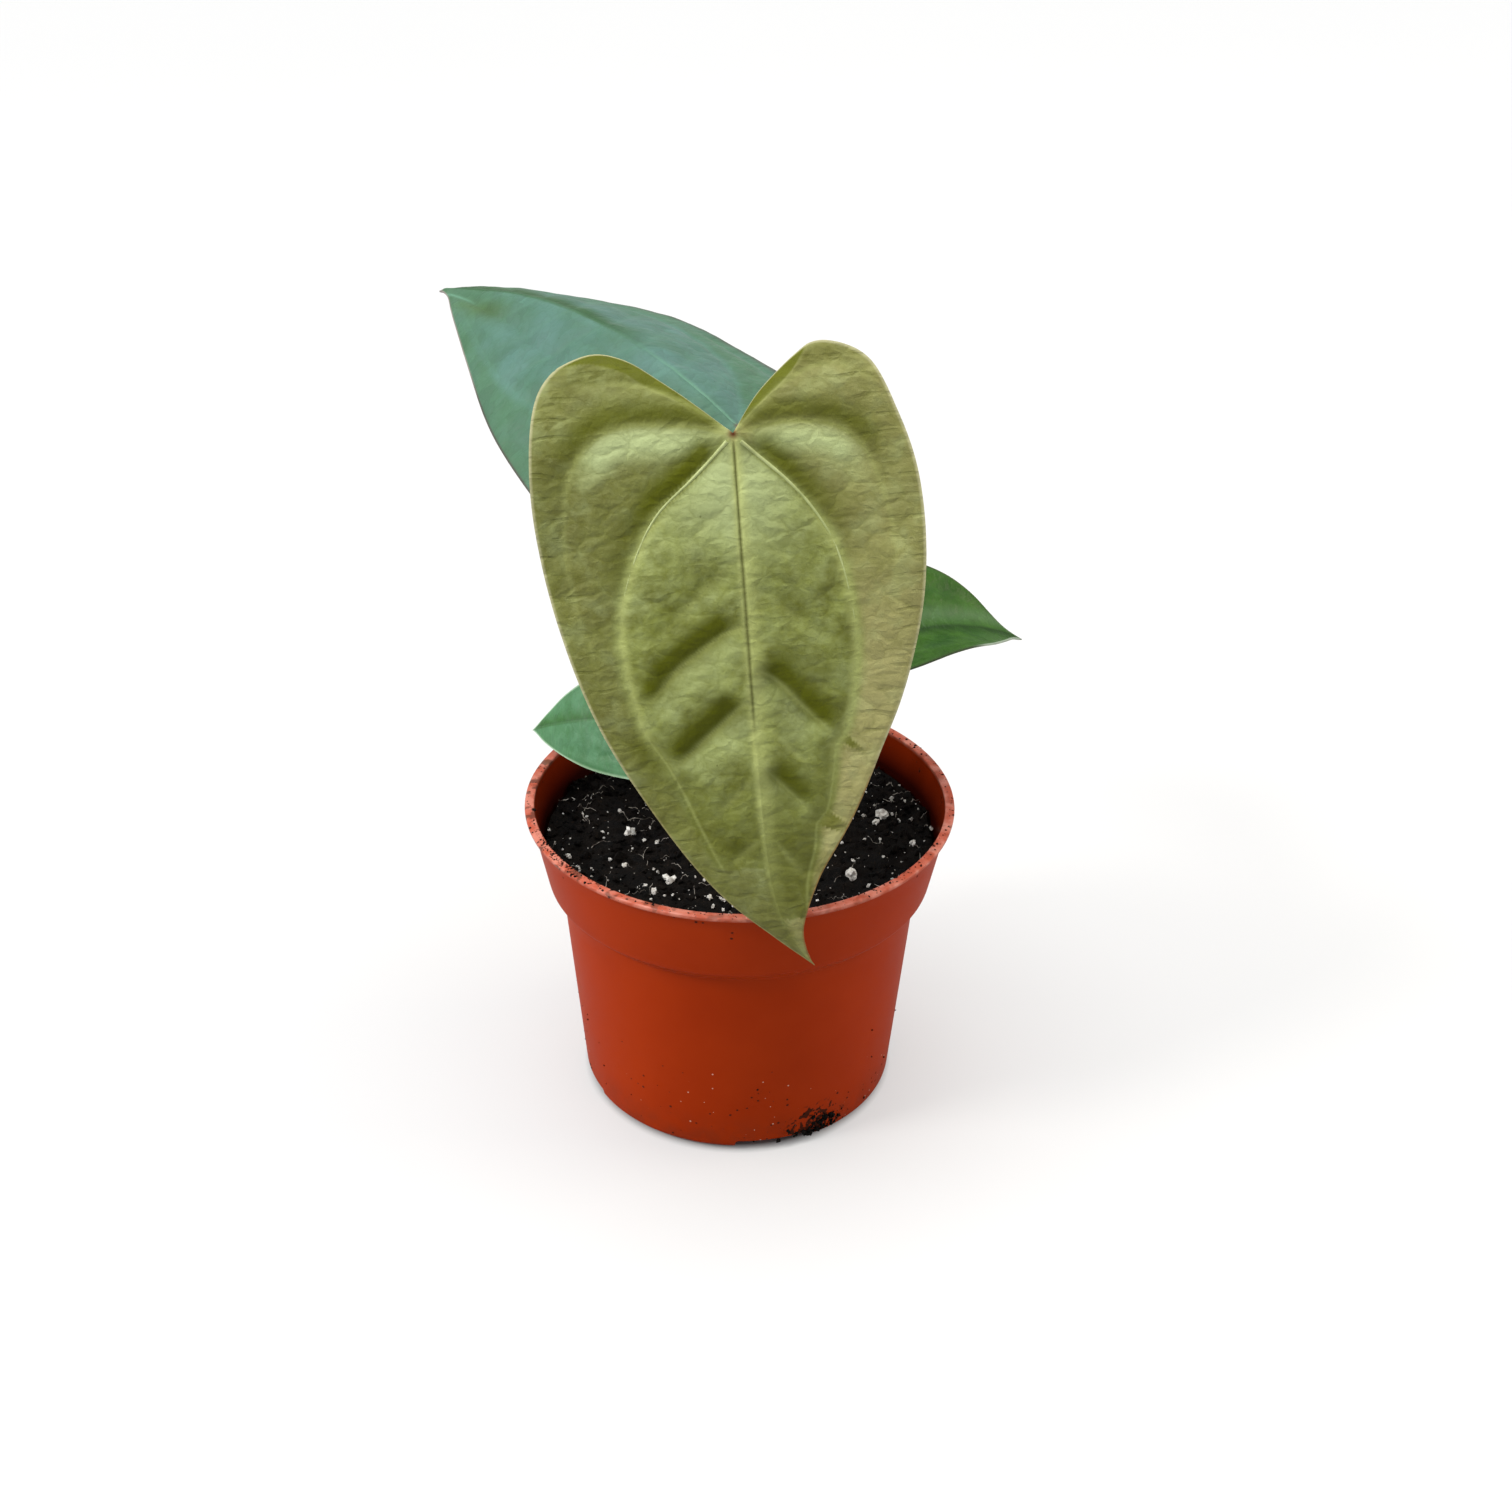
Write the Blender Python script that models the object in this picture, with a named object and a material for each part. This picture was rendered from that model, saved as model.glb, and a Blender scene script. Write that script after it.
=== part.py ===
"""Potted anthurium: a young plant with four heart-shaped leaves in a round nursery pot.

Metres, +Z up, the viewer stands at -Y. The origin is the centre of the standing pad under the pot.
"""

import math
import random
from dataclasses import dataclass

import bmesh
import bpy
import numpy as np
from mathutils import Matrix, Vector

# ---- Fits ----------------------------------------------------------------------------------------
CLEARANCE = 0.0003          # gap between two pieces that touch

# ---- Pot -----------------------------------------------------------------------------------------
POT_HEIGHT = 0.090
RIM_RADIUS = 0.060          # outside of the lip
WALL = 0.0010
LIP_WIDTH = 0.0028
LIP_THICKNESS = 0.0014
LIP_OVERHANG = 0.0015       # how far the lip stands out from the collar
COLLAR_HEIGHT = 0.0220
COLLAR_TAPER = 0.0041       # how much the collar narrows from the lip to its lower edge
STEP_HEIGHT = 0.0040
STEP_DEPTH = 0.0040         # how far the body sits inside the collar
BODY_TAPER = 0.0055
FOOT_CORNER = 0.0020
FOOT_WIDTH = 0.0034         # flat ring that the pot stands on
BASE_LIFT = 0.0040          # underside of the base plate above the floor
PAD_RADIUS = 0.0120         # middle of the base, pressed down to the floor
NOTCH_COUNT = 4
NOTCH_WIDTH = 0.0240
NOTCH_HEIGHT = 0.0035
NOTCH_TURN = math.radians(-75.0)
DRAIN_COUNT = 6
DRAIN_RADIUS = 0.0040
DRAIN_RING_RADIUS = 0.0260
DRAIN_TURN = math.radians(32.0)
POT_SEGMENTS = 72

# ---- Soil ----------------------------------------------------------------------------------------
SOIL_DROP = 0.0110          # soil surface below the rim
SOIL_CLODS = 0.0009         # height of the unevenness
SOIL_RINGS = 8
SOIL_SEGMENTS = 48
PERLITE_COUNT = 8
PERLITE_RADIUS = 0.0019
PERLITE_SEED = 5

# ---- Crown, sheaths and roots --------------------------------------------------------------------
CROWN_RADIUS = 0.0055
CROWN_RISE = 0.0060         # above the soil
CROWN_DEPTH = 0.0200        # below the soil
CROWN_SEGMENTS = 20
CROWN_TURN = math.radians(4.0)
SHEATH_TURNS = (-50.0, 48.0, 225.0)
SHEATH_HEIGHT = 0.0170
SHEATH_WIDTH = 0.0052
SHEATH_THICKNESS = 0.0006
SHEATH_LEAN = 0.0045
SHEATH_TIP_HALF = 0.0004    # half width of its point
ROOT_COUNT = 5
ROOT_RADIUS = 0.0013
ROOT_REACH = 0.0300
ROOT_FALL = 0.0340
ROOT_SIDES = 8

# ---- Leaves --------------------------------------------------------------------------------------
BLADE_THICKNESS = 0.0008
PETIOLE_SIDES = 12
PETIOLE_STEPS = 18
PETIOLE_BASE_RADIUS = 0.0021
PETIOLE_RADIUS = 0.0014
KNEE_RADIUS = 0.0018        # the swollen joint under the blade
KNEE_LENGTH = 0.0120
PETIOLE_OFFSET = 0.0032     # of a petiole's foot from the crown's axis
PETIOLE_GRIP = 0.0027       # from the notch between the lobes to the petiole's middle
FRONT_INSET = 0.0300        # front blade's hold, inside the rim's radius
FRONT_TIP_GAP = 0.0080      # front blade's tip, outside the rim's radius

# Half outlines of a blade, from the notch between the lobes round to the tip. Each point is the share
# of the blade's length along the midrib and the share of the half width across it.
ROUND_HALF = (
    (0.0, 0.0), (-0.087, 0.285), (-0.151, 0.53), (-0.158, 0.72), (-0.095, 0.93), (0.036, 1.0),
    (0.20, 0.985), (0.365, 0.90), (0.525, 0.755), (0.69, 0.53), (0.835, 0.29), (0.925, 0.11),
    (0.97, 0.035), (1.0, 0.0),
)
UPRIGHT_HALF = (
    (0.0, 0.0), (-0.076, 0.17), (-0.135, 0.375), (-0.148, 0.55), (-0.113, 0.76), (-0.022, 0.895),
    (0.08, 0.98), (0.205, 1.0), (0.34, 0.96), (0.48, 0.845), (0.595, 0.69), (0.715, 0.51),
    (0.83, 0.27), (0.915, 0.10), (0.965, 0.035), (1.0, 0.0),
)

LOBE_REACH = 0.158          # the outlines' longest lobe, as a share of the blade's length
WAVE_COUNT = 1.8            # waves of the margin along the blade


@dataclass
class Leaf:
    """One leaf. Angles in degrees; left and right are seen from the stalk, looking at the upper side."""

    name: str
    hold: tuple             # the notch between the lobes: x, y and height above the rim
    heading: float          # compass direction of the midrib, from +X towards +Y
    pitch: float            # how steeply the midrib starts downwards
    roll: float             # turn about the midrib
    arch: float             # how much the midrib bends down from the hold to the tip
    length: float           # hold to tip, along the midrib
    left_width: float
    right_width: float
    left_half: tuple
    right_half: tuple
    left_droop: float       # each half's slope away from the midrib
    right_droop: float
    crest: float            # softness of the ridge along the midrib
    lobe_share: float       # how long the lobes are, as a share of the outline's own
    lobe_curl: float        # how far the lobes' ends bend down
    wave: float             # rise and fall of the margin
    tip_hook: float         # sideways hook of the drip tip
    foot_turn: float        # where the petiole leaves the crown
    rows: int
    columns: int


def front_pitch(length, arch):
    """The pitch that brings the front blade's tip down just outside the rim."""
    run = FRONT_INSET + FRONT_TIP_GAP
    return 90.0 - math.degrees(math.asin(run / length)) - arch / 2


FRONT_LENGTH = 0.1375
FRONT_ARCH = 20.0
LEAVES = (
    Leaf(
        name="front", hold=(-0.0025, -(RIM_RADIUS - FRONT_INSET), 0.1205),
        heading=-79.2, pitch=front_pitch(FRONT_LENGTH, FRONT_ARCH), roll=9.8, arch=FRONT_ARCH,
        length=FRONT_LENGTH, left_width=0.0458, right_width=0.0506,
        left_half=UPRIGHT_HALF, right_half=ROUND_HALF, left_droop=9.0, right_droop=8.0, crest=0.0060,
        lobe_share=1.05, lobe_curl=0.0050, wave=0.0012, tip_hook=0.0110,
        foot_turn=-95.0, rows=24, columns=5,
    ),
    Leaf(
        name="back", hold=(-0.0010, 0.0200, 0.1020),
        heading=135.0, pitch=-25.0, roll=0.0, arch=44.0,
        length=0.1310, left_width=0.0565, right_width=0.0508,
        left_half=ROUND_HALF, right_half=UPRIGHT_HALF, left_droop=40.0, right_droop=20.0, crest=0.0080,
        lobe_share=0.7, lobe_curl=0.0040, wave=0.0010, tip_hook=0.0,
        foot_turn=85.0, rows=22, columns=5,
    ),
    Leaf(
        name="right", hold=(0.0190, 0.0075, 0.0385),
        heading=15.0, pitch=-24.5, roll=16.0, arch=60.0,
        length=0.0700, left_width=0.0265, right_width=0.0245,
        left_half=ROUND_HALF, right_half=UPRIGHT_HALF, left_droop=-22.5, right_droop=-24.5, crest=0.0040,
        lobe_share=0.9, lobe_curl=0.0015, wave=0.0006, tip_hook=0.0,
        foot_turn=-5.0, rows=16, columns=4,
    ),
    Leaf(
        name="left", hold=(-0.0170, 0.0068, 0.0212),
        heading=172.0, pitch=3.0, roll=-50.0, arch=58.0,
        length=0.0578, left_width=0.0180, right_width=0.0165,
        left_half=ROUND_HALF, right_half=UPRIGHT_HALF, left_droop=8.0, right_droop=9.5, crest=0.0040,
        lobe_share=0.9, lobe_curl=0.0010, wave=0.0004, tip_hook=0.0,
        foot_turn=175.0, rows=14, columns=4,
    ),
)

# ---- Worked out from the sizes above -------------------------------------------------------------
SOIL_TOP = POT_HEIGHT - SOIL_DROP
COLLAR_TOP_RADIUS = RIM_RADIUS - LIP_OVERHANG
COLLAR_LOW_RADIUS = COLLAR_TOP_RADIUS - COLLAR_TAPER
BODY_TOP_RADIUS = COLLAR_LOW_RADIUS - STEP_DEPTH
FOOT_RADIUS = BODY_TOP_RADIUS - BODY_TAPER
FOOT_OUTER = FOOT_RADIUS - FOOT_CORNER
FOOT_INNER = FOOT_OUTER - FOOT_WIDTH
COLLAR_LOW = POT_HEIGHT - COLLAR_HEIGHT
BODY_TOP = COLLAR_LOW - STEP_HEIGHT
BASE_TOP = BASE_LIFT + WALL
CROWN_TOP = SOIL_TOP + CROWN_RISE
CROWN_FOOT = SOIL_TOP - CROWN_DEPTH


# ---- Helpers -------------------------------------------------------------------------------------
def clear_scene():
    for obj in list(bpy.data.objects):
        bpy.data.objects.remove(obj, do_unlink=True)


def make_material(name, colour, roughness, metallic=0.0):
    material = bpy.data.materials.new(name)
    material.use_nodes = True
    shader = material.node_tree.nodes["Principled BSDF"]
    shader.inputs["Base Color"].default_value = (*colour, 1.0)
    shader.inputs["Roughness"].default_value = roughness
    shader.inputs["Metallic"].default_value = metallic
    return material


def object_from(name, bm, material=None):
    """Turns a bmesh into an object; without a material it is a cutter, which isn't part of the model."""
    bmesh.ops.remove_doubles(bm, verts=bm.verts[:], dist=1e-7)
    bmesh.ops.recalc_face_normals(bm, faces=bm.faces[:])
    mesh = bpy.data.meshes.new(name)
    bm.to_mesh(mesh)
    bm.free()
    mesh.shade_smooth()
    mesh.set_sharp_from_angle(angle=math.radians(35.0))
    obj = bpy.data.objects.new(name, mesh)
    bpy.context.scene.collection.objects.link(obj)
    if material is None:
        obj.hide_render = True
        obj.display_type = "WIRE"
    else:
        mesh.materials.append(material)
    return obj


def cut(obj, cutter):
    modifier = obj.modifiers.new("cut_" + cutter.name, "BOOLEAN")
    modifier.operation = "DIFFERENCE"
    modifier.object = cutter


def turned(name, profile, segments, material=None, first_turn=0.0):
    """A closed profile of (radius, height) points, spun round +Z. Points on the axis become poles."""
    bm = bmesh.new()
    aside = Vector((math.cos(first_turn), math.sin(first_turn), 0.0))
    verts = [bm.verts.new(aside * radius + Vector((0.0, 0.0, height))) for radius, height in profile]
    edges = [bm.edges.new((a, b)) for a, b in zip(verts, verts[1:])]
    if profile[0][0] > 0.0:
        edges.append(bm.edges.new((verts[-1], verts[0])))
    bmesh.ops.spin(
        bm, geom=verts + edges, axis=(0, 0, 1), cent=(0, 0, 0), angle=math.tau, steps=segments,
        use_merge=True, use_duplicate=False,
    )
    return object_from(name, bm, material)


def smooth_path(points, count):
    """Evenly spaced points on a smooth curve through the given ones (Catmull-Rom)."""
    knots = np.array(points, float)
    knots = np.vstack([2 * knots[0] - knots[1], knots, 2 * knots[-1] - knots[-2]])
    steps = np.arange(0.0, 1.0, 0.05)[:, None]
    spans = []
    for before, start, end, after in zip(knots, knots[1:], knots[2:], knots[3:]):
        spans.append(0.5 * (2 * start + (end - before) * steps
                            + (2 * before - 5 * start + 4 * end - after) * steps ** 2
                            + (3 * start - before - 3 * end + after) * steps ** 3))
    curve = np.vstack([*spans, knots[-2]])
    along = np.concatenate([[0.0], np.cumsum(np.linalg.norm(np.diff(curve, axis=0), axis=1))])
    even = np.linspace(0.0, along[-1], count)
    return np.stack([np.interp(even, along, axis) for axis in curve.T], axis=1)


def bezier(start, start_pull, end_pull, end, count):
    """Points on one cubic curve."""
    points = []
    for step in range(count):
        t = step / (count - 1)
        points.append(start * (1 - t) ** 3 + start_pull * 3 * t * (1 - t) ** 2
                      + end_pull * 3 * t ** 2 * (1 - t) + end * t ** 3)
    return points


def tube(name, points, radii, sides, material=None):
    """A round tube along the points, with its own radius at each one and flat ends."""
    bm = bmesh.new()
    rings = []
    side_axis = Vector((1.0, 0.0, 0.0))
    for index, (point, radius) in enumerate(zip(points, radii)):
        ahead = points[min(index + 1, len(points) - 1)] - points[max(index - 1, 0)]
        ahead.normalize()
        side_axis = (side_axis - ahead * side_axis.dot(ahead)).normalized()
        other_axis = ahead.cross(side_axis)
        ring = []
        for side in range(sides):
            angle = math.tau * side / sides
            ring.append(bm.verts.new(point + radius * (math.cos(angle) * side_axis
                                                       + math.sin(angle) * other_axis)))
        rings.append(ring)
    for ring, following in zip(rings, rings[1:]):
        for side in range(sides):
            following_side = (side + 1) % sides
            bm.faces.new((ring[side], ring[following_side], following[following_side], following[side]))
    bm.faces.new(rings[0][::-1])
    bm.faces.new(rings[-1])
    return object_from(name, bm, material)


# ---- Pot -----------------------------------------------------------------------------------------
def inner_wall(gap):
    """The inside of the pot from the rim down to the axis, moved in by a gap."""
    step_wall = WALL * 0.5
    return [
        (COLLAR_TOP_RADIUS - WALL - gap, POT_HEIGHT - LIP_THICKNESS),
        (COLLAR_LOW_RADIUS - WALL - gap, COLLAR_LOW + step_wall),
        (BODY_TOP_RADIUS - WALL - gap, BODY_TOP + step_wall),
        (FOOT_RADIUS - WALL - gap, BASE_TOP + FOOT_CORNER + gap),
        (FOOT_OUTER - WALL - gap, BASE_TOP + gap),
        (PAD_RADIUS - gap, BASE_TOP + gap),
        (PAD_RADIUS - WALL - BASE_LIFT / 2 - gap, WALL + gap),
        (0.0, WALL + gap),
    ]


def make_pot(material):
    corner = FOOT_CORNER * (1 - math.sqrt(0.5))
    outside = [
        (0.0, 0.0),
        (PAD_RADIUS - BASE_LIFT / 2, 0.0),
        (PAD_RADIUS + WALL, BASE_LIFT),
        (FOOT_INNER - WALL, BASE_LIFT),
        (FOOT_INNER, 0.0),
        (FOOT_OUTER, 0.0),
        (FOOT_RADIUS - corner, corner),
        (FOOT_RADIUS, FOOT_CORNER),
        (BODY_TOP_RADIUS, BODY_TOP),
        (COLLAR_LOW_RADIUS - WALL * 0.3, COLLAR_LOW - WALL * 0.6),
        (COLLAR_LOW_RADIUS, COLLAR_LOW),
        (COLLAR_TOP_RADIUS, POT_HEIGHT - LIP_THICKNESS),
        (RIM_RADIUS, POT_HEIGHT - LIP_THICKNESS),
        (RIM_RADIUS, POT_HEIGHT - LIP_THICKNESS * 0.3),
        (RIM_RADIUS - LIP_THICKNESS * 0.3, POT_HEIGHT),
        (RIM_RADIUS - LIP_WIDTH, POT_HEIGHT),
    ]
    pot = turned("pot", outside + inner_wall(0.0), POT_SEGMENTS, material)

    bm = bmesh.new()
    for index in range(NOTCH_COUNT):
        turn = Matrix.Rotation(NOTCH_TURN + index * math.tau / NOTCH_COUNT, 4, "Z")
        depth = FOOT_RADIUS - FOOT_INNER + 4 * WALL
        middle = Matrix.Translation((FOOT_RADIUS + WALL - depth / 2, 0.0, 0.0))
        size = Matrix.Diagonal((depth, NOTCH_WIDTH, 2 * NOTCH_HEIGHT, 1.0))
        bmesh.ops.create_cube(bm, size=1.0, matrix=turn @ middle @ size)
    cut(pot, object_from("notch_cutter", bm))

    bm = bmesh.new()
    for index in range(DRAIN_COUNT):
        turn = Matrix.Rotation(DRAIN_TURN + index * math.tau / DRAIN_COUNT, 4, "Z")
        place = turn @ Matrix.Translation((DRAIN_RING_RADIUS, 0.0, BASE_LIFT + WALL / 2))
        bmesh.ops.create_cone(
            bm, cap_ends=True, segments=16, radius1=DRAIN_RADIUS, radius2=DRAIN_RADIUS,
            depth=3 * WALL, matrix=place,
        )
    cut(pot, object_from("drain_cutter", bm))
    return pot


# ---- Soil and what stands in it ------------------------------------------------------------------
def soil_height(x, y):
    """Surface of the soil: low clods, a mound round the crown and a dip along the wall."""
    radius = math.hypot(x, y)
    clods = (math.sin(310 * x + 140 * y) + math.sin(-190 * x + 260 * y + 1.3)
             + 0.7 * math.sin(420 * x - 330 * y + 0.4))
    mound = 0.0016 * math.exp(-((radius / 0.016) ** 2))
    dip = 0.0012 * (radius / RIM_RADIUS) ** 6
    return SOIL_TOP + SOIL_CLODS * clods / 2.7 + mound - dip


def wall_radius_at(height):
    """Inner radius of the collar at a height between its lower edge and the lip."""
    (top_radius, top), (low_radius, low) = inner_wall(CLEARANCE)[:2]
    return low_radius + (top_radius - low_radius) * (height - low) / (top - low)


def make_soil(material):
    """The root ball: it follows the inside of the pot and has an uneven top."""
    lower_wall = inner_wall(CLEARANCE)[1:]
    edge_radius = wall_radius_at(SOIL_TOP - SOIL_CLODS - 0.002)
    bm = bmesh.new()
    bottom = bm.verts.new((0.0, 0.0, lower_wall[-1][1]))
    rings = []
    for radius, height in lower_wall[-2::-1]:
        rings.append([bm.verts.new(polar(radius, segment, height)) for segment in range(SOIL_SEGMENTS)])
    for step in range(SOIL_RINGS):
        radius = edge_radius * (1 - step / SOIL_RINGS)
        ring = []
        for segment in range(SOIL_SEGMENTS):
            x, y, _ = polar(radius, segment, 0.0)
            ring.append(bm.verts.new((x, y, soil_height(x, y))))
        rings.append(ring)
    top = bm.verts.new((0.0, 0.0, soil_height(0.0, 0.0)))
    for segment in range(SOIL_SEGMENTS):
        following = (segment + 1) % SOIL_SEGMENTS
        bm.faces.new((bottom, rings[0][following], rings[0][segment]))
        bm.faces.new((top, rings[-1][segment], rings[-1][following]))
        for ring, above in zip(rings, rings[1:]):
            bm.faces.new((ring[segment], ring[following], above[following], above[segment]))
    return object_from("potting_soil", bm, material)


def polar(radius, segment, height):
    angle = math.tau * segment / SOIL_SEGMENTS
    return radius * math.cos(angle), radius * math.sin(angle), height


def make_crown(name, gap, material=None):
    """The short ringed stem that every petiole and root grows from."""
    full = CROWN_RADIUS + gap
    profile = [
        (0.0, CROWN_FOOT - gap),
        (full * 0.55, CROWN_FOOT - gap),
        (full * 0.85, CROWN_FOOT + 0.003),
    ]
    rings = 4
    for ring in range(rings):
        height = CROWN_FOOT + 0.006 + (CROWN_TOP - CROWN_FOOT - 0.010) * ring / (rings - 1)
        profile.append((full, height))
        profile.append((full * 0.93, height + 0.0022))
    profile += [(full * 0.62, CROWN_TOP + gap), (0.0, CROWN_TOP + gap)]
    return turned(name, profile, CROWN_SEGMENTS, material, CROWN_TURN)


def make_root(index, gap, material=None):
    """One fleshy root: out of the crown's side, then down through the soil."""
    turn = math.tau * (index + 0.3) / ROOT_COUNT
    out = Vector((math.cos(turn), math.sin(turn), 0.0))
    start_height = SOIL_TOP - CROWN_DEPTH * (0.45 + 0.1 * (index % 3))
    reach = ROOT_REACH * (0.75 + 0.12 * (index % 3))
    start = Vector((0.0, 0.0, start_height)) + out * CROWN_RADIUS * 0.4
    end = out * reach + Vector((0.0, 0.0, start_height - ROOT_FALL))
    pull = Vector((0.0, 0.0, start_height - 0.004)) + out * reach * 0.8
    points = bezier(start, start + out * 0.010, pull, end, 12)
    radii = [(ROOT_RADIUS + gap) * (1 - 0.45 * step / 11) for step in range(12)]
    if gap:
        points[-1] = points[-1] + (points[-1] - points[-2]).normalized() * gap * 2
        radii[-1] = radii[-1] + gap
    name = f"root_{index + 1}" + ("_cutter" if gap else "")
    return tube(name, points, radii, ROOT_SIDES, material)


def make_perlite(index, gap, material=None):
    """A crumb of perlite, half sunk in the soil's surface."""
    rng = random.Random(PERLITE_SEED + index)
    turn = math.tau * (index + 0.35 * rng.random()) / PERLITE_COUNT
    reach = 0.021 + (wall_radius_at(SOIL_TOP) - 0.028) * rng.random()
    middle = Vector((reach * math.cos(turn), reach * math.sin(turn), 0.0))
    middle.z = soil_height(middle.x, middle.y) + PERLITE_RADIUS * 0.25
    bm = bmesh.new()
    bmesh.ops.create_icosphere(bm, subdivisions=1, radius=1.0)
    for vert in bm.verts:
        bump = PERLITE_RADIUS * (0.8 + 0.4 * rng.random()) + gap
        vert.co = middle + vert.co.normalized() * bump
    name = f"perlite_{index + 1}" + ("_cutter" if gap else "")
    return object_from(name, bm, material)


def soil_beside_crown(radius, turn):
    """Height of the soil's top between its middle point and its innermost ring."""
    ring_radius = wall_radius_at(SOIL_TOP - SOIL_CLODS - 0.002) / SOIL_RINGS
    ring_height = soil_height(ring_radius * math.cos(turn), ring_radius * math.sin(turn))
    return soil_height(0.0, 0.0) + (ring_height - soil_height(0.0, 0.0)) * radius / ring_radius


def make_sheath(index, material):
    """A dry papery sheath, wrapped round the crown's side and drawn out to a point."""
    rows, columns = 7, 4
    turn = math.radians(SHEATH_TURNS[index])
    inner = CROWN_RADIUS + CLEARANCE + SHEATH_THICKNESS / 2
    reach = (SHEATH_WIDTH / 2 + SHEATH_TIP_HALF) / inner
    foot = CLEARANCE + max(soil_beside_crown(inner + SHEATH_THICKNESS, turn + side * reach)
                           for side in (-1, -0.5, 0, 0.5, 1))
    bm = bmesh.new()
    grid = []
    for row in range(rows + 1):
        share = row / rows
        half_width = SHEATH_WIDTH / 2 * (1 - share ** 2.2) + SHEATH_TIP_HALF
        radius = inner + SHEATH_LEAN * share ** 2
        line = []
        for column in range(columns + 1):
            angle = turn + (2 * column / columns - 1) * half_width / inner
            line.append(bm.verts.new((radius * math.cos(angle), radius * math.sin(angle),
                                      foot + SHEATH_HEIGHT * share)))
        grid.append(line)
    for line, above in zip(grid, grid[1:]):
        for column in range(columns):
            bm.faces.new((line[column], line[column + 1], above[column + 1], above[column]))
    sheath = object_from(f"leaf_sheath_{index + 1}", bm, material)
    solid = sheath.modifiers.new("thickness", "SOLIDIFY")
    solid.thickness = SHEATH_THICKNESS
    solid.offset = 0.0
    return sheath


# ---- Leaves --------------------------------------------------------------------------------------
def blade_axes(leaf):
    """Directions at the hold: along the midrib, to the left across it, and out of the upper side."""
    heading, pitch, roll = (math.radians(angle) for angle in (leaf.heading, leaf.pitch, leaf.roll))
    ahead = Vector((math.cos(heading), math.sin(heading), 0.0))
    along = ahead * math.cos(pitch) - Vector((0.0, 0.0, math.sin(pitch)))
    across = Vector((-math.sin(heading), math.cos(heading), 0.0))
    turn = Matrix.Rotation(roll, 3, along)
    across = turn @ across
    return along, across, along.cross(across)


def hold_point(leaf):
    x, y, above_rim = leaf.hold
    return Vector((x, y, POT_HEIGHT + above_rim))


def blade_point(leaf, along_mid, across_mid):
    """The place in space of a point of the flat blade: along the midrib and to the left of it."""
    along, across, out = blade_axes(leaf)
    share = min(max(along_mid / leaf.length, 0.0), 1.0)
    bend = math.radians(leaf.arch)
    forward = math.sin(bend * share) / bend * leaf.length + min(along_mid, 0.0)
    down = (1 - math.cos(bend * share)) / bend * leaf.length
    upper = out * math.cos(bend * share) + along * math.sin(bend * share)
    droop = math.radians(leaf.left_droop if across_mid > 0 else leaf.right_droop)
    fall = math.sin(droop) * (math.hypot(across_mid, leaf.crest) - leaf.crest)
    lobe_end = LOBE_REACH * leaf.lobe_share * leaf.length
    fall += leaf.lobe_curl * (min(along_mid, 0.0) / lobe_end) ** 2
    edge_share = across_mid / (leaf.left_width if across_mid > 0 else leaf.right_width)
    wave_turn = WAVE_COUNT * math.tau * along_mid / leaf.length + 2 * edge_share
    fall += leaf.wave * edge_share ** 2 * math.sin(wave_turn)
    sideways = math.cos(droop) * across_mid + leaf.tip_hook * share ** 10
    return hold_point(leaf) + along * forward - out * down + across * sideways - upper * fall


def half_outline(leaf, half, width):
    """The edge of one half of the blade, as distances along and across the midrib."""
    points = []
    for along_share, across_share in half:
        if along_share < 0:
            along_share *= leaf.lobe_share
        points.append((along_share * leaf.length, across_share * width))
    return smooth_path(points, leaf.rows + 1)


def make_blade(leaf, name, thickness, material=None):
    """The blade: rows fan out from the midrib to the edge on each side, then it gets its thickness."""
    bm = bmesh.new()
    halves = ((1, leaf.left_half, leaf.left_width), (-1, leaf.right_half, leaf.right_width))
    for side, half, width in halves:
        grid = []
        for row, (edge_along, edge_across) in enumerate(half_outline(leaf, half, width)):
            spine = leaf.length * (row / leaf.rows) ** 1.5
            line = []
            for column in range(leaf.columns + 1):
                share = column / leaf.columns
                along_mid = spine + (edge_along - spine) * share
                line.append(bm.verts.new(blade_point(leaf, along_mid, side * edge_across * share)))
            grid.append(line)
        for line, following in zip(grid, grid[1:]):
            for column in range(leaf.columns):
                bm.faces.new((line[column], following[column], following[column + 1], line[column + 1]))
    bmesh.ops.remove_doubles(bm, verts=bm.verts[:], dist=1e-6)
    bmesh.ops.dissolve_degenerate(bm, edges=bm.edges[:], dist=1e-6)
    blade = object_from(name, bm, material)
    solid = blade.modifiers.new("thickness", "SOLIDIFY")
    solid.thickness = thickness
    solid.offset = 0.0
    return blade


def make_petiole(leaf, material):
    """The stalk: out of the crown, up, and over its swollen knee into the underside of the blade."""
    along, _, out = blade_axes(leaf)
    turn = math.radians(leaf.foot_turn)
    away = Vector((math.cos(turn), math.sin(turn), 0.0))
    start = away * PETIOLE_OFFSET + Vector((0.0, 0.0, CROWN_TOP - 0.002))
    end = hold_point(leaf) + along * PETIOLE_GRIP
    neck = end - out * 2 * BLADE_THICKNESS
    rise = (neck - start).length
    start_pull = start + Vector((0.0, 0.0, 0.35 * rise)) + away * 0.0015
    end_pull = neck - out * 1.8 * KNEE_LENGTH
    inside = end - out * 0.4 * BLADE_THICKNESS
    points = bezier(start, start_pull, end_pull, neck, PETIOLE_STEPS) + [inside]
    radii = []
    for step, point in enumerate(points):
        foot = math.exp(-(point - start).length / 0.012)
        knee = math.exp(-(((point - end).length / KNEE_LENGTH) ** 4))
        radii.append(PETIOLE_RADIUS + (PETIOLE_BASE_RADIUS - PETIOLE_RADIUS) * foot
                     + (KNEE_RADIUS - PETIOLE_RADIUS) * knee)
    return tube(f"petiole_{leaf.name}", points, radii, PETIOLE_SIDES, material)


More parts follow.
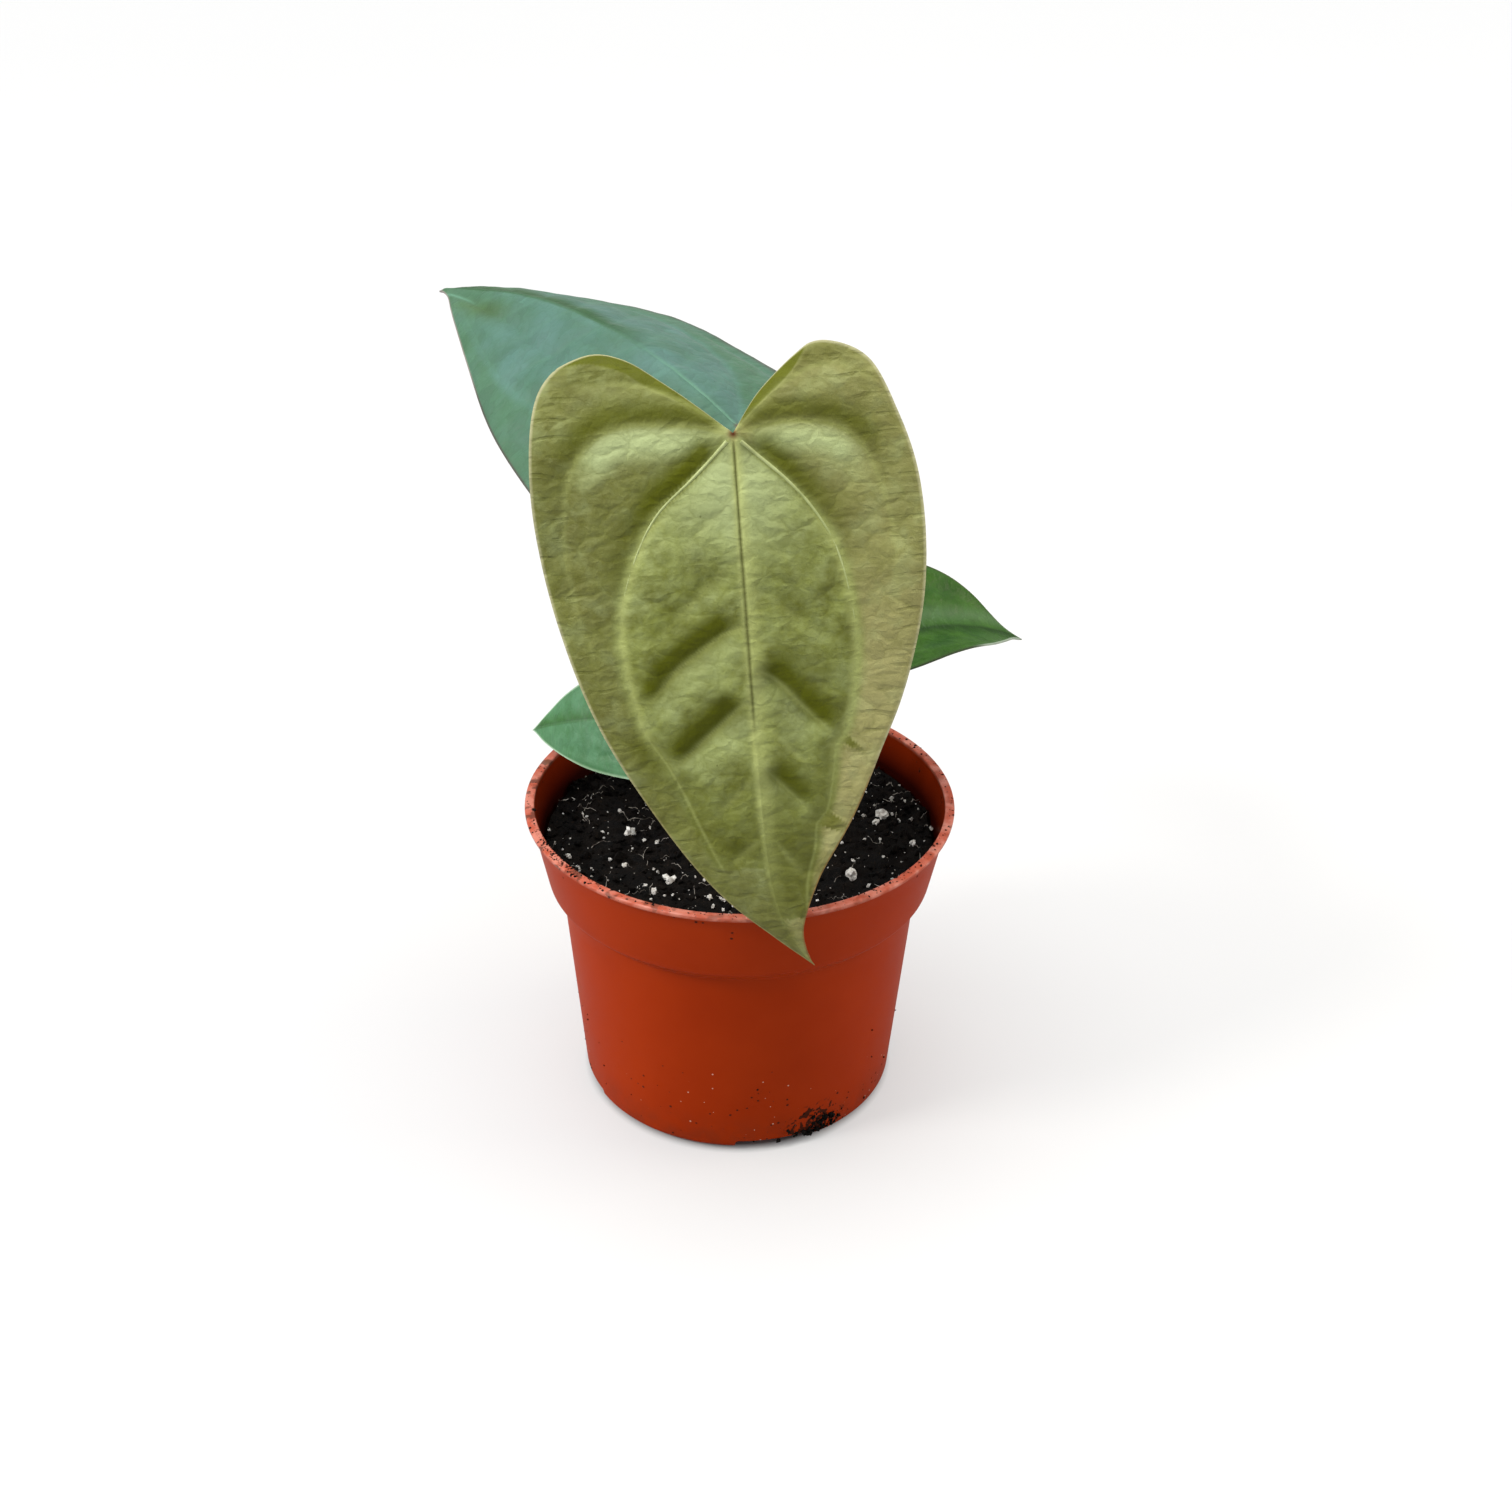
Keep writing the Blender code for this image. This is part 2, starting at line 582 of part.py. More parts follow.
# ---- The plant in its pot ------------------------------------------------------------------------
def main():
    clear_scene()
    terracotta = make_material("terracotta_plastic", (0.46, 0.075, 0.03), 0.42)
    peat = make_material("peat", (0.018, 0.013, 0.010), 0.95)
    perlite = make_material("perlite", (0.80, 0.78, 0.73), 0.9)
    stem_skin = make_material("stem_skin", (0.20, 0.17, 0.06), 0.6)
    root_skin = make_material("root_skin", (0.62, 0.52, 0.36), 0.7)
    dry_sheath = make_material("dry_sheath", (0.30, 0.19, 0.10), 0.8)
    petiole_skin = make_material("petiole_skin", (0.17, 0.22, 0.05), 0.45)
    blade_skins = {
        "front": make_material("young_blade", (0.22, 0.24, 0.06), 0.5),
        "back": make_material("velvet_blade", (0.07, 0.17, 0.13), 0.6),
        "right": make_material("glossy_blade", (0.05, 0.20, 0.04), 0.35),
        "left": make_material("blue_green_blade", (0.08, 0.22, 0.14), 0.5),
    }

    make_pot(terracotta)
    soil = make_soil(peat)
    make_crown("crown", 0.0, stem_skin)
    crown_cutter = make_crown("crown_cutter", CLEARANCE)
    cut(soil, crown_cutter)
    for index in range(ROOT_COUNT):
        cut(make_root(index, 0.0, root_skin), crown_cutter)
        cut(soil, make_root(index, CLEARANCE))
    for index in range(PERLITE_COUNT):
        make_perlite(index, 0.0, perlite)
        cut(soil, make_perlite(index, CLEARANCE))
    for index in range(len(SHEATH_TURNS)):
        make_sheath(index, dry_sheath)
    for leaf in LEAVES:
        make_blade(leaf, f"blade_{leaf.name}", BLADE_THICKNESS, blade_skins[leaf.name])
        petiole = make_petiole(leaf, petiole_skin)
        cut(petiole, crown_cutter)
        cut(petiole, make_blade(leaf, f"blade_{leaf.name}_cutter", BLADE_THICKNESS + 2 * CLEARANCE))


main()
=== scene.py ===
"""A young potted anthurium, finished for close views: its plastic nursery pot, peat, stalks and blades."""

import math
import random
from dataclasses import dataclass

import bpy
import numpy as np
from mathutils import Matrix, Vector, noise


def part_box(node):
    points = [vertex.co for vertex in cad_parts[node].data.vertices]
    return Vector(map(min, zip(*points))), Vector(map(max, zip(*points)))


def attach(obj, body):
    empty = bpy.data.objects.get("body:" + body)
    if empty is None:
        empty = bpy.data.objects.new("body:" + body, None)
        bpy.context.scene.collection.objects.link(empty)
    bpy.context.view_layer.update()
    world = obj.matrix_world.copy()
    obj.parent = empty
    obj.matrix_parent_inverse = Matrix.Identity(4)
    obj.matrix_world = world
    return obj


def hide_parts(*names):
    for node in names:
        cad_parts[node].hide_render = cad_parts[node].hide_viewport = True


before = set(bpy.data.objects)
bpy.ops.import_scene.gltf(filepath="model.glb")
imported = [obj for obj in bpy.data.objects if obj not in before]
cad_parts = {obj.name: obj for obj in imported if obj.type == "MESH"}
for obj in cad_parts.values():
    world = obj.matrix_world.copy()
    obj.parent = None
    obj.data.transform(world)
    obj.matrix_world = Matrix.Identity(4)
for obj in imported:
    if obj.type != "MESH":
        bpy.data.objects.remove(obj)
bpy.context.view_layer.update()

MM = 0.001
BODY = "root"

# ---- Pot -----------------------------------------------------------------------------------------
POT_LOW, POT_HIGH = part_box("pot")
RIM_RADIUS = POT_HIGH.x
POT_HEIGHT = POT_HIGH.z
WALL = 0.0010
LIP_WIDTH = 0.0028
LIP_THICKNESS = 0.0014
LIP_OVERHANG = 0.0015         # how far the lip stands out from the collar
COLLAR_HEIGHT = 0.0220
COLLAR_TAPER = 0.0041         # how much the collar narrows down to its lower edge
STEP_HEIGHT = 0.0040
STEP_DEPTH = 0.0040           # how far the body sits inside the collar
BODY_TAPER = 0.0055
FOOT_CORNER = 0.0020
FOOT_WIDTH = 0.0034
BASE_LIFT = 0.0040            # underside of the base above the floor
PAD_RADIUS = 0.0120           # of the base's middle, pressed down to the floor
NOTCH_COUNT = 4
NOTCH_WIDTH = 0.0240
NOTCH_HEIGHT = 0.0035
NOTCH_TURN = math.radians(-75.0)
DRAIN_COUNT = 6
DRAIN_RADIUS = 0.0040
DRAIN_RING_RADIUS = 0.0260
DRAIN_TURN = math.radians(32.0)
POT_SIDES = 160
POT_EASE = 0.0007             # of the corners of its profile
CLUMP_PLACE = (22.7, -39.4, 4.0)  # of the soil stuck beside the front notch, in millimetres

COLLAR_TOP_RADIUS = RIM_RADIUS - LIP_OVERHANG
COLLAR_LOW_RADIUS = COLLAR_TOP_RADIUS - COLLAR_TAPER
BODY_TOP_RADIUS = COLLAR_LOW_RADIUS - STEP_DEPTH
FOOT_RADIUS = BODY_TOP_RADIUS - BODY_TAPER
FOOT_OUTER = FOOT_RADIUS - FOOT_CORNER
FOOT_INNER = FOOT_OUTER - FOOT_WIDTH
COLLAR_LOW = POT_HEIGHT - COLLAR_HEIGHT
BODY_TOP = COLLAR_LOW - STEP_HEIGHT
BASE_TOP = BASE_LIFT + WALL

# ---- Soil and crown ------------------------------------------------------------------------------
SOIL_DROP = 0.0110           # soil surface below the rim
SOIL_TOP = POT_HEIGHT - SOIL_DROP
SOIL_CLODS = 0.0009          # height of the unevenness
SOIL_GAP = 0.0003
SOIL_SIDES = 200
SOIL_RINGS = 78
SOIL_REACH = 0.0545          # how far out from the middle loose bits lie
CRUMB_COUNT = 1900
GRAIN_COUNT = 620
FIBRE_COUNT = 170
FIBRE_STEPS = 8
CLUMP_BITS = 120             # bits of soil in the clump beside the front notch
CLUMP_TURN = -58.5
WALL_BITS = 70
# Where soil lies on the lip: the middle of each stretch and its spread, in degrees, and its bits.
LIP_STRETCHES = ((-143, 12, 190), (-40, 16, 60), (25, 30, 70), (120, 60, 60), (-95, 25, 50))
CROWN_RADIUS = 0.0055
CROWN_RISE = 0.0060          # above the soil
CROWN_TOP = SOIL_TOP + CROWN_RISE
CROWN_RINGS = 6
SHEATH_TURNS = (-50.0, 48.0, 225.0)
SHEATH_WIDTH = 0.0056
SHEATH_LEAN = 0.0043
SHEATH_THICKNESS = 0.0003
SHEATH_GAP = 0.0003

# ---- Leaves --------------------------------------------------------------------------------------
PETIOLE_BASE_RADIUS = 0.0021
PETIOLE_RADIUS = 0.0014
KNEE_RADIUS = 0.0018         # of the swollen joint under the blade
KNEE_LENGTH = 0.0120
PETIOLE_OFFSET = 0.0032      # of a stalk's foot from the crown's axis
PETIOLE_GRIP = 0.0027        # from the notch between the lobes to the stalk's middle
PETIOLE_RINGS = 90
BLADE_THICKNESS = 0.00045
RIB_THICKNESS = 0.0017       # of the blade and the rib under its midrib together
VEIN_THICKNESS = 0.0003      # what a pale vein adds
LOBE_REACH = 0.158
WAVE_COUNT = 1.8             # waves of the margin along the blade
NORMAL_STEP = 0.0004         # over which a blade's slope is measured
FLAT_UNIT = 100.0            # millimetres to one unit of a blade's flat map

# Half outlines of a blade, from its notch to its tip: share of its length, share of the half's width.
ROUND_HALF = (
    (0.0, 0.0), (-0.087, 0.285), (-0.151, 0.53), (-0.158, 0.72), (-0.095, 0.93), (0.036, 1.0),
    (0.20, 0.985), (0.365, 0.90), (0.525, 0.755), (0.69, 0.53), (0.835, 0.29), (0.925, 0.11),
    (0.97, 0.035), (1.0, 0.0),
)
UPRIGHT_HALF = (
    (0.0, 0.0), (-0.076, 0.17), (-0.135, 0.375), (-0.148, 0.55), (-0.113, 0.76), (-0.022, 0.895),
    (0.08, 0.98), (0.205, 1.0), (0.34, 0.96), (0.48, 0.845), (0.595, 0.69), (0.715, 0.51),
    (0.83, 0.27), (0.915, 0.10), (0.965, 0.035), (1.0, 0.0),
)
FULL_HALF = (
    (0.0, 0.0), (-0.087, 0.285), (-0.151, 0.53), (-0.158, 0.72), (-0.095, 0.93), (0.036, 1.0),
    (0.20, 1.0), (0.365, 0.955), (0.525, 0.86), (0.66, 0.69), (0.77, 0.47), (0.85, 0.25),
    (0.91, 0.095), (0.955, 0.035), (1.0, 0.0),
)


@dataclass
class Vein:
    """One vein of a flat blade. Places are millimetres along the midrib and across it to the left."""

    points: tuple
    depth: float            # how far the blade sinks to it, in millimetres
    above: float = 5.0      # width of the slope on its lobe side
    below: float = 5.0      # width of the slope on its tip side
    line: float = 0.5       # strength of its pale line
    start: float = 6.0      # length over which it deepens
    end: float = 8.0        # length over which it fades out
    cord: float = 0.0       # radius of the cord that stands up along its first stretch
    bounds: bool = False    # whether it parts the middle panels from the outer band
    light: float = 0.3      # how strong the painted light on the crest on its tip side is


@dataclass
class Leaf:
    """One leaf. Angles in degrees; left and right are seen from the stalk, looking at the upper side."""

    name: str
    hold: tuple             # where the stalk takes hold: x, y and height above the rim
    heading: float
    pitch: float            # how steeply the blade points down at its hold
    roll: float
    arch: float             # how far it bends down from hold to tip
    length: float
    left_width: float
    right_width: float
    left_half: tuple
    right_half: tuple
    left_droop: float
    right_droop: float
    crest: float            # roundness of the ridge along the midrib
    lobe_share: float
    lobe_curl: float
    wave: float
    tip_hook: float         # how far the tip turns to the left
    foot_turn: float        # on which side of the crown its stalk stands
    rows: int
    columns: int
    puff: float             # depth of the quilting between generated veins, in millimetres
    seed: int


FRONT_LENGTH = 0.1375
FRONT_ARCH = 20.0
FRONT_RUN = 0.0380          # from the front blade's hold out to its tip
LEAVES = (
    Leaf(
        name="front", hold=(-0.0025, -(RIM_RADIUS - 0.030), 0.1205),
        heading=-79.2, pitch=90 - math.degrees(math.asin(FRONT_RUN / FRONT_LENGTH)) - FRONT_ARCH / 2,
        roll=9.8, arch=FRONT_ARCH, length=FRONT_LENGTH, left_width=0.0458, right_width=0.0506,
        left_half=UPRIGHT_HALF, right_half=ROUND_HALF, left_droop=9.0, right_droop=8.0, crest=0.0060,
        lobe_share=1.05, lobe_curl=0.0050, wave=0.0012, tip_hook=0.0110,
        foot_turn=-95.0, rows=270, columns=74, puff=0.0, seed=3,
    ),
    Leaf(
        name="back", hold=(-0.0010, 0.0200, 0.1020),
        heading=135.0, pitch=-25.0, roll=0.0, arch=44.0,
        length=0.1310, left_width=0.0565, right_width=0.0508,
        left_half=ROUND_HALF, right_half=UPRIGHT_HALF, left_droop=40.0, right_droop=20.0, crest=0.0080,
        lobe_share=0.7, lobe_curl=0.0040, wave=0.0010, tip_hook=0.0,
        foot_turn=85.0, rows=230, columns=64, puff=0.9, seed=11,
    ),
    Leaf(
        name="right", hold=(0.0190, 0.0075, 0.0385),
        heading=15.0, pitch=-24.5, roll=16.0, arch=60.0,
        length=0.0700, left_width=0.0265, right_width=0.0245,
        left_half=FULL_HALF, right_half=UPRIGHT_HALF, left_droop=-22.5, right_droop=-24.5, crest=0.0040,
        lobe_share=0.9, lobe_curl=0.0015, wave=0.0006, tip_hook=0.0,
        foot_turn=-5.0, rows=150, columns=44, puff=0.5, seed=17,
    ),
    Leaf(
        name="left", hold=(-0.0170, 0.0068, 0.0212),
        heading=172.0, pitch=3.0, roll=-50.0, arch=58.0,
        length=0.0578, left_width=0.0180, right_width=0.0165,
        left_half=ROUND_HALF, right_half=UPRIGHT_HALF, left_droop=8.0, right_droop=9.5, crest=0.0040,
        lobe_share=0.9, lobe_curl=0.0010, wave=0.0004, tip_hook=0.0,
        foot_turn=175.0, rows=130, columns=36, puff=0.4, seed=23,
    ),
)

LEAF_SLOTS = {"front": "olive_leaf", "back": "teal_leaf", "right": "green_leaf", "left": "blue_green_leaf"}

# ---- Camera --------------------------------------------------------------------------------------
CAMERA_PLACE = (0.0, -0.5116, 0.4038)
CAMERA_TURN = (59.562, -0.687, -0.083)       # tilt, roll and heading in degrees
CAMERA_LENS = 51.04
CAMERA_SENSOR = 36.0

# ---- Light ---------------------------------------------------------------------------------------
FLOOR_SIZE = 30.0
FLOOR_GAP = 0.0002
FLOOR_GLOW = (0.445, 0.445, 0.445)
PLANT_MIDDLE = (0.0, 0.0, 0.11)
HORIZON_LIGHT = (0.22, 0.225, 0.23)
ZENITH_LIGHT = (0.75, 0.77, 0.80)


# ---- Making meshes -------------------------------------------------------------------------------
def deselect_all():
    for obj in list(bpy.context.selected_objects):
        obj.select_set(False)


def make_active(obj):
    deselect_all()
    obj.select_set(True)
    bpy.context.view_layer.objects.active = obj


def apply_modifiers(obj):
    make_active(obj)
    for modifier in list(obj.modifiers):
        bpy.ops.object.modifier_apply(modifier=modifier.name)


def close_and_face_out(obj, distance=1e-6):
    """Doubles merged and every face turned outwards."""
    make_active(obj)
    bpy.ops.object.mode_set(mode="EDIT")
    bpy.ops.mesh.select_all(action="SELECT")
    bpy.ops.mesh.remove_doubles(threshold=distance)
    bpy.ops.mesh.normals_make_consistent(inside=False)
    bpy.ops.object.mode_set(mode="OBJECT")


def mesh_object(name, points, faces):
    mesh = bpy.data.meshes.new(name)
    mesh.from_pydata([tuple(point) for point in points], [], [tuple(face) for face in faces])
    mesh.update()
    obj = bpy.data.objects.new(name, mesh)
    bpy.context.scene.collection.objects.link(obj)
    return obj


def points_of(obj):
    points = np.empty(len(obj.data.vertices) * 3)
    obj.data.vertices.foreach_get("co", points)
    return points.reshape(-1, 3)


def set_points(obj, points):
    obj.data.vertices.foreach_set("co", np.asarray(points, float).ravel())
    obj.data.update()


def put_on(obj, name, material, slot, nodes=(), smooth=40.0):
    """Names a finished piece, gives it its material, and ties it to the frame."""
    obj.name = obj.data.name = name
    if material is not None:
        obj.data.materials.clear()
        obj.data.materials.append(material)
    make_active(obj)
    bpy.ops.object.shade_smooth_by_angle(angle=math.radians(smooth))
    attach(obj, BODY)
    if nodes:
        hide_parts(*nodes)
    deselect_all()
    return obj


def eased(profile, ease):
    """A profile with each inner corner turned into a small curve."""
    steps = 3
    rounded = [profile[0]]
    for before, corner, after in zip(profile, profile[1:], profile[2:]):
        corner = np.array(corner)
        back, on = np.array(before) - corner, np.array(after) - corner
        start = corner + back * min(0.45, ease / np.linalg.norm(back))
        end = corner + on * min(0.45, ease / np.linalg.norm(on))
        for step in range(steps + 1):
            t = step / steps
            rounded.append(tuple(start * (1 - t) ** 2 + corner * 2 * t * (1 - t) + end * t ** 2))
    return rounded + [profile[-1]]


def turned(profile, sides, height_steps=0.0):
    """A filled circle at the profile's first place, extruded from place to place along it."""
    places = [profile[0]]
    for start, end in zip(profile, profile[1:]):
        span = math.dist(start, end)
        count = max(1, math.ceil(span / height_steps)) if height_steps else 1
        for step in range(1, count + 1):
            share = step / count
            places.append((start[0] + (end[0] - start[0]) * share, start[1] + (end[1] - start[1]) * share))
    deselect_all()
    bpy.ops.mesh.primitive_circle_add(vertices=sides, radius=places[0][0], fill_type="NGON",
                                      location=(0.0, 0.0, places[0][1]))
    obj = bpy.context.active_object
    bpy.ops.object.transform_apply(location=True, rotation=True, scale=True)
    bpy.ops.object.mode_set(mode="EDIT")
    bpy.ops.mesh.select_all(action="SELECT")
    for (radius, height), (next_radius, next_height) in zip(places, places[1:]):
        bpy.ops.mesh.extrude_region_move(
            TRANSFORM_OT_translate={"value": (0.0, 0.0, next_height - height)})
        scale = next_radius / radius
        bpy.ops.transform.resize(value=(scale, scale, 1.0), center_override=(0.0, 0.0, next_height))
    bpy.ops.object.mode_set(mode="OBJECT")
    close_and_face_out(obj)
    return obj


def cut_away(obj, cutter):
    """The cutter's shape taken out of a piece."""
    modifier = obj.modifiers.new("cut", "BOOLEAN")
    modifier.operation = "DIFFERENCE"
    modifier.solver = "EXACT"
    modifier.object = cutter
    apply_modifiers(obj)
    bpy.data.objects.remove(cutter, do_unlink=True)


def scattered(name, shape, places, turns, sizes, rng, roughness=0.35):
    """Copies of one small shape, each with its own place, turn, size and dents, in one mesh."""
    base = points_of(shape)
    faces = np.array([polygon.vertices[:] for polygon in shape.data.polygons])
    all_points, all_faces = [], []
    for place, turn, size in zip(places, turns, sizes):
        dents = 1.0 + roughness * (rng.random((len(base), 1)) - 0.5)
        points = (base * dents * np.asarray(size)) @ np.array(turn.to_matrix()).T + np.asarray(place)
        all_faces.append(faces + len(base) * len(all_points))
        all_points.append(points)
    bpy.data.objects.remove(shape, do_unlink=True)
    return mesh_object(name, np.vstack(all_points), np.vstack(all_faces))


def crumb_shape(detail=1):
    """A small ball of a few dozen faces, to be dented by scattered."""
    deselect_all()
    bpy.ops.mesh.primitive_ico_sphere_add(subdivisions=detail, radius=1.0)
    return bpy.context.active_object


def any_turn(rng):
    turn = Vector(rng.normal(size=3)).normalized()
    return Matrix.Rotation(rng.random() * math.tau, 3, turn).to_quaternion()


def tube_from(name, paths, thickness, sides_level):
    """Round tubes along paths of (place, radius) made as one curve and turned into a mesh."""
    curve = bpy.data.curves.new(name, "CURVE")
    curve.dimensions = "3D"
    curve.bevel_depth = thickness
    curve.bevel_resolution = sides_level
    curve.use_fill_caps = True
    for path in paths:
        spline = curve.splines.new("POLY")
        spline.points.add(len(path) - 1)
        for point, (place, radius) in zip(spline.points, path):
            point.co = (*place, 1.0)
            point.radius = radius / thickness
    obj = bpy.data.objects.new(name, curve)
    bpy.context.scene.collection.objects.link(obj)
    make_active(obj)
    bpy.ops.object.convert(target="MESH")
    return bpy.context.active_object


def smooth_path(points, count):
    """Evenly spaced points on a smooth curve through the given ones (Catmull-Rom)."""
    knots = np.array(points, float)
    knots = np.vstack([2 * knots[0] - knots[1], knots, 2 * knots[-1] - knots[-2]])
    steps = np.arange(0.0, 1.0, 0.05)[:, None]
    spans = []
    for before, start, end, after in zip(knots, knots[1:], knots[2:], knots[3:]):
        spans.append(0.5 * (2 * start + (end - before) * steps
                            + (2 * before - 5 * start + 4 * end - after) * steps ** 2
                            + (3 * start - before - 3 * end + after) * steps ** 3))
    curve = np.vstack([*spans, knots[-2]])
    along = np.concatenate([[0.0], np.cumsum(np.linalg.norm(np.diff(curve, axis=0), axis=1))])
    even = np.linspace(0.0, along[-1], count)
    return np.stack([np.interp(even, along, axis) for axis in curve.T], axis=1)


def soft_step(values, low, high):
    share = np.clip((values - low) / (high - low), 0.0, 1.0)
    return share * share * (3 - 2 * share)


# ---- Shader helpers ------------------------------------------------------------------------------
def add(tree, kind, values=None, **settings):
    """One node. Values go to its sockets by name or number: a number, a colour, or another socket."""
    node = tree.nodes.new(kind)
    for key, value in settings.items():
        setattr(node, key, value)
    for key, value in (values or {}).items():
        if isinstance(value, bpy.types.NodeSocket):
            tree.links.new(value, node.inputs[key])
        else:
            node.inputs[key].default_value = value
    return node


def maths(tree, operation, first, second=0.0, third=None):
    values = {0: first, 1: second}
    if third is not None:
        values[2] = third
    return add(tree, "ShaderNodeMath", values, operation=operation).outputs[0]


def times(tree, first, second):
    return maths(tree, "MULTIPLY", first, second)


def remap(tree, value, low, high, to_low=0.0, to_high=1.0, smooth=False):
    kind = "SMOOTHSTEP" if smooth else "LINEAR"
    values = {"Value": value, "From Min": low, "From Max": high, "To Min": to_low, "To Max": to_high}
    return add(tree, "ShaderNodeMapRange", values, interpolation_type=kind, clamp=True).outputs[0]


def blend(tree, share, first, second, way="MIX"):
    """Two colours mixed; a colour is three numbers or a socket."""
    first, second = (c if isinstance(c, bpy.types.NodeSocket) else (*c, 1.0) for c in (first, second))
    node = add(tree, "ShaderNodeMix", {0: share, 6: first, 7: second}, data_type="RGBA", blend_type=way)
    return node.outputs[2]


def tinted(tree, colour, mask, strength, tint):
    """A colour with another one laid over it where the mask says, at a share of its full strength."""
    return blend(tree, times(tree, mask, strength), colour, tint)


def attribute(tree, name):
    return add(tree, "ShaderNodeAttribute", attribute_name=name, attribute_type="GEOMETRY").outputs["Fac"]


def object_place(tree):
    return add(tree, "ShaderNodeTexCoord").outputs["Object"]


def place_in_mm(tree):
    return scaled(tree, object_place(tree), 1.0 / MM)


def flat_place(tree):
    """Millimetres along and across a blade as it would lie flat."""
    return scaled(tree, add(tree, "ShaderNodeUVMap", uv_map="flat blade").outputs[0], FLAT_UNIT)


def new_group(name, inputs, outputs):
    """A shader group with named sockets, and its input and output nodes."""
    group = bpy.data.node_groups.new(name, "ShaderNodeTree")
    for socket, value in inputs.items():
        kind = "NodeSocketVector" if value is None else "NodeSocketFloat"
        made = group.interface.new_socket(socket, in_out="INPUT", socket_type=kind)
        if value is not None:
            made.default_value = value
    for socket in outputs:
        group.interface.new_socket(socket, in_out="OUTPUT", socket_type="NodeSocketFloat")
    return group, group.nodes.new("NodeGroupInput").outputs, group.nodes.new("NodeGroupOutput").inputs


def scaled(tree, vector, scale):
    return add(tree, "ShaderNodeVectorMath", {0: vector, "Scale": scale}, operation="SCALE").outputs[0]


def place_group(tree, group, **values):
    """The outputs of a group placed in a tree, its inputs set by name with _ for a space."""
    node = add(tree, "ShaderNodeGroup", node_tree=group)
    for key, value in values.items():
        socket = node.inputs[key.replace("_", " ")]
        if isinstance(value, bpy.types.NodeSocket):
            tree.links.new(value, socket)
        else:
            socket.default_value = value
    return node.outputs


def make_mottle():
    """Soft uneven patches, 0 to 1. Size is the patches' width in the vector's unit."""
    group, put, out = new_group("mottle", {"Vector": None, "Size": 1.0, "Contrast": 1.0}, ["Value"])
    scale = maths(group, "DIVIDE", 1.0, put["Size"])
    grain = add(group, "ShaderNodeTexNoise",
                {"Vector": scaled(group, put["Vector"], scale), "Scale": 1.0, "Detail": 3.0})
    centred = maths(group, "SUBTRACT", grain.outputs["Fac"], 0.5)
    value = maths(group, "MULTIPLY_ADD", centred, times(group, put["Contrast"], 2.2), 0.5)
    group.links.new(remap(group, value, 0.0, 1.0), out["Value"])
    return group


def make_net():
    """The net of fine veins: its lines, the dome of each cell and one shade for each cell."""
    group, put, out = new_group(
        "leaf net", {"Vector": None, "Cell": 3.0, "Line Width": 0.12, "Wander": 0.5},
        ["Line", "Dome", "Shade"])
    scale = maths(group, "DIVIDE", 1.0, put["Cell"])
    place = scaled(group, put["Vector"], scale)
    drift = add(group, "ShaderNodeTexNoise", {"Vector": place, "Scale": 1.4, "Detail": 2.0})
    pushed = add(group, "ShaderNodeVectorMath", {0: drift.outputs["Color"], 1: (0.5, 0.5, 0.5)},
                 operation="SUBTRACT").outputs[0]
    place = add(group, "ShaderNodeVectorMath",
                {0: pushed, 1: scaled(group, (1.0, 1.0, 1.0), put["Wander"]), 2: place},
                operation="MULTIPLY_ADD").outputs[0]
    edges = add(group, "ShaderNodeTexVoronoi", {"Vector": place, "Scale": 1.0}, feature="DISTANCE_TO_EDGE")
    cells = add(group, "ShaderNodeTexVoronoi", {"Vector": place, "Scale": 1.0}, feature="F1")
    line = remap(group, edges.outputs["Distance"], 0.0, put["Line Width"], 1.0, 0.0, smooth=True)
    dome = remap(group, edges.outputs["Distance"], 0.0, 0.35, 0.0, 1.0, smooth=True)
    shade = add(group, "ShaderNodeSeparateColor", {0: cells.outputs["Color"]}).outputs[0]
    for socket, value in (("Line", line), ("Dome", dome), ("Shade", shade)):
        group.links.new(value, out[socket])
    return group


def make_specks():
    """A mask of scattered round specks."""
    group, put, out = new_group(
        "specks", {"Vector": None, "Spacing": 3.0, "Radius": 0.3, "Share": 0.3}, ["Mask"])
    place = scaled(group, put["Vector"], maths(group, "DIVIDE", 1.0, put["Spacing"]))
    cells = add(group, "ShaderNodeTexVoronoi", {"Vector": place, "Scale": 1.0}, feature="F1")
    colour = add(group, "ShaderNodeSeparateColor", {0: cells.outputs["Color"]})
    distance = times(group, cells.outputs["Distance"], put["Spacing"])
    radius = times(group, put["Radius"], maths(group, "MULTIPLY_ADD", colour.outputs[1], 1.2, 0.3))
    inside = remap(group, distance, times(group, radius, 0.7), radius, 1.0, 0.0)
    chosen = maths(group, "LESS_THAN", colour.outputs[0], put["Share"])
    group.links.new(times(group, inside, chosen), out["Mask"])
    return group


def make_grain():
    """Fine grain of a surface, as a height round 0.5."""
    group, put, out = new_group("grain", {"Vector": None, "Size": 0.3}, ["Height"])
    place = scaled(group, put["Vector"], maths(group, "DIVIDE", 1.0, put["Size"]))
    fine = add(group, "ShaderNodeTexNoise", {"Vector": place, "Scale": 1.0, "Detail": 4.0})
    group.links.new(fine.outputs["Fac"], out["Height"])
    return group


MOTTLE = make_mottle()
NET = make_net()
SPECKS = make_specks()
GRAIN = make_grain()


def mottled(tree, place, size, contrast):
    return place_group(tree, MOTTLE, Vector=place, Size=size, Contrast=contrast)["Value"]


def specked(tree, place, spacing, radius, share):
    return place_group(tree, SPECKS, Vector=place, Spacing=spacing, Radius=radius, Share=share)["Mask"]


def grained(tree, place, size):
    return place_group(tree, GRAIN, Vector=place, Size=size)["Height"]


def new_material(name, **constants):
    """An empty material: its tree and its shader, with the shader's own constant values set."""
    material = bpy.data.materials.new(name)
    material.use_nodes = True
    tree = material.node_tree
    shader = tree.nodes["Principled BSDF"]
    for key, value in constants.items():
        shader.inputs[key.replace("_", " ")].default_value = value
    return material, tree, shader


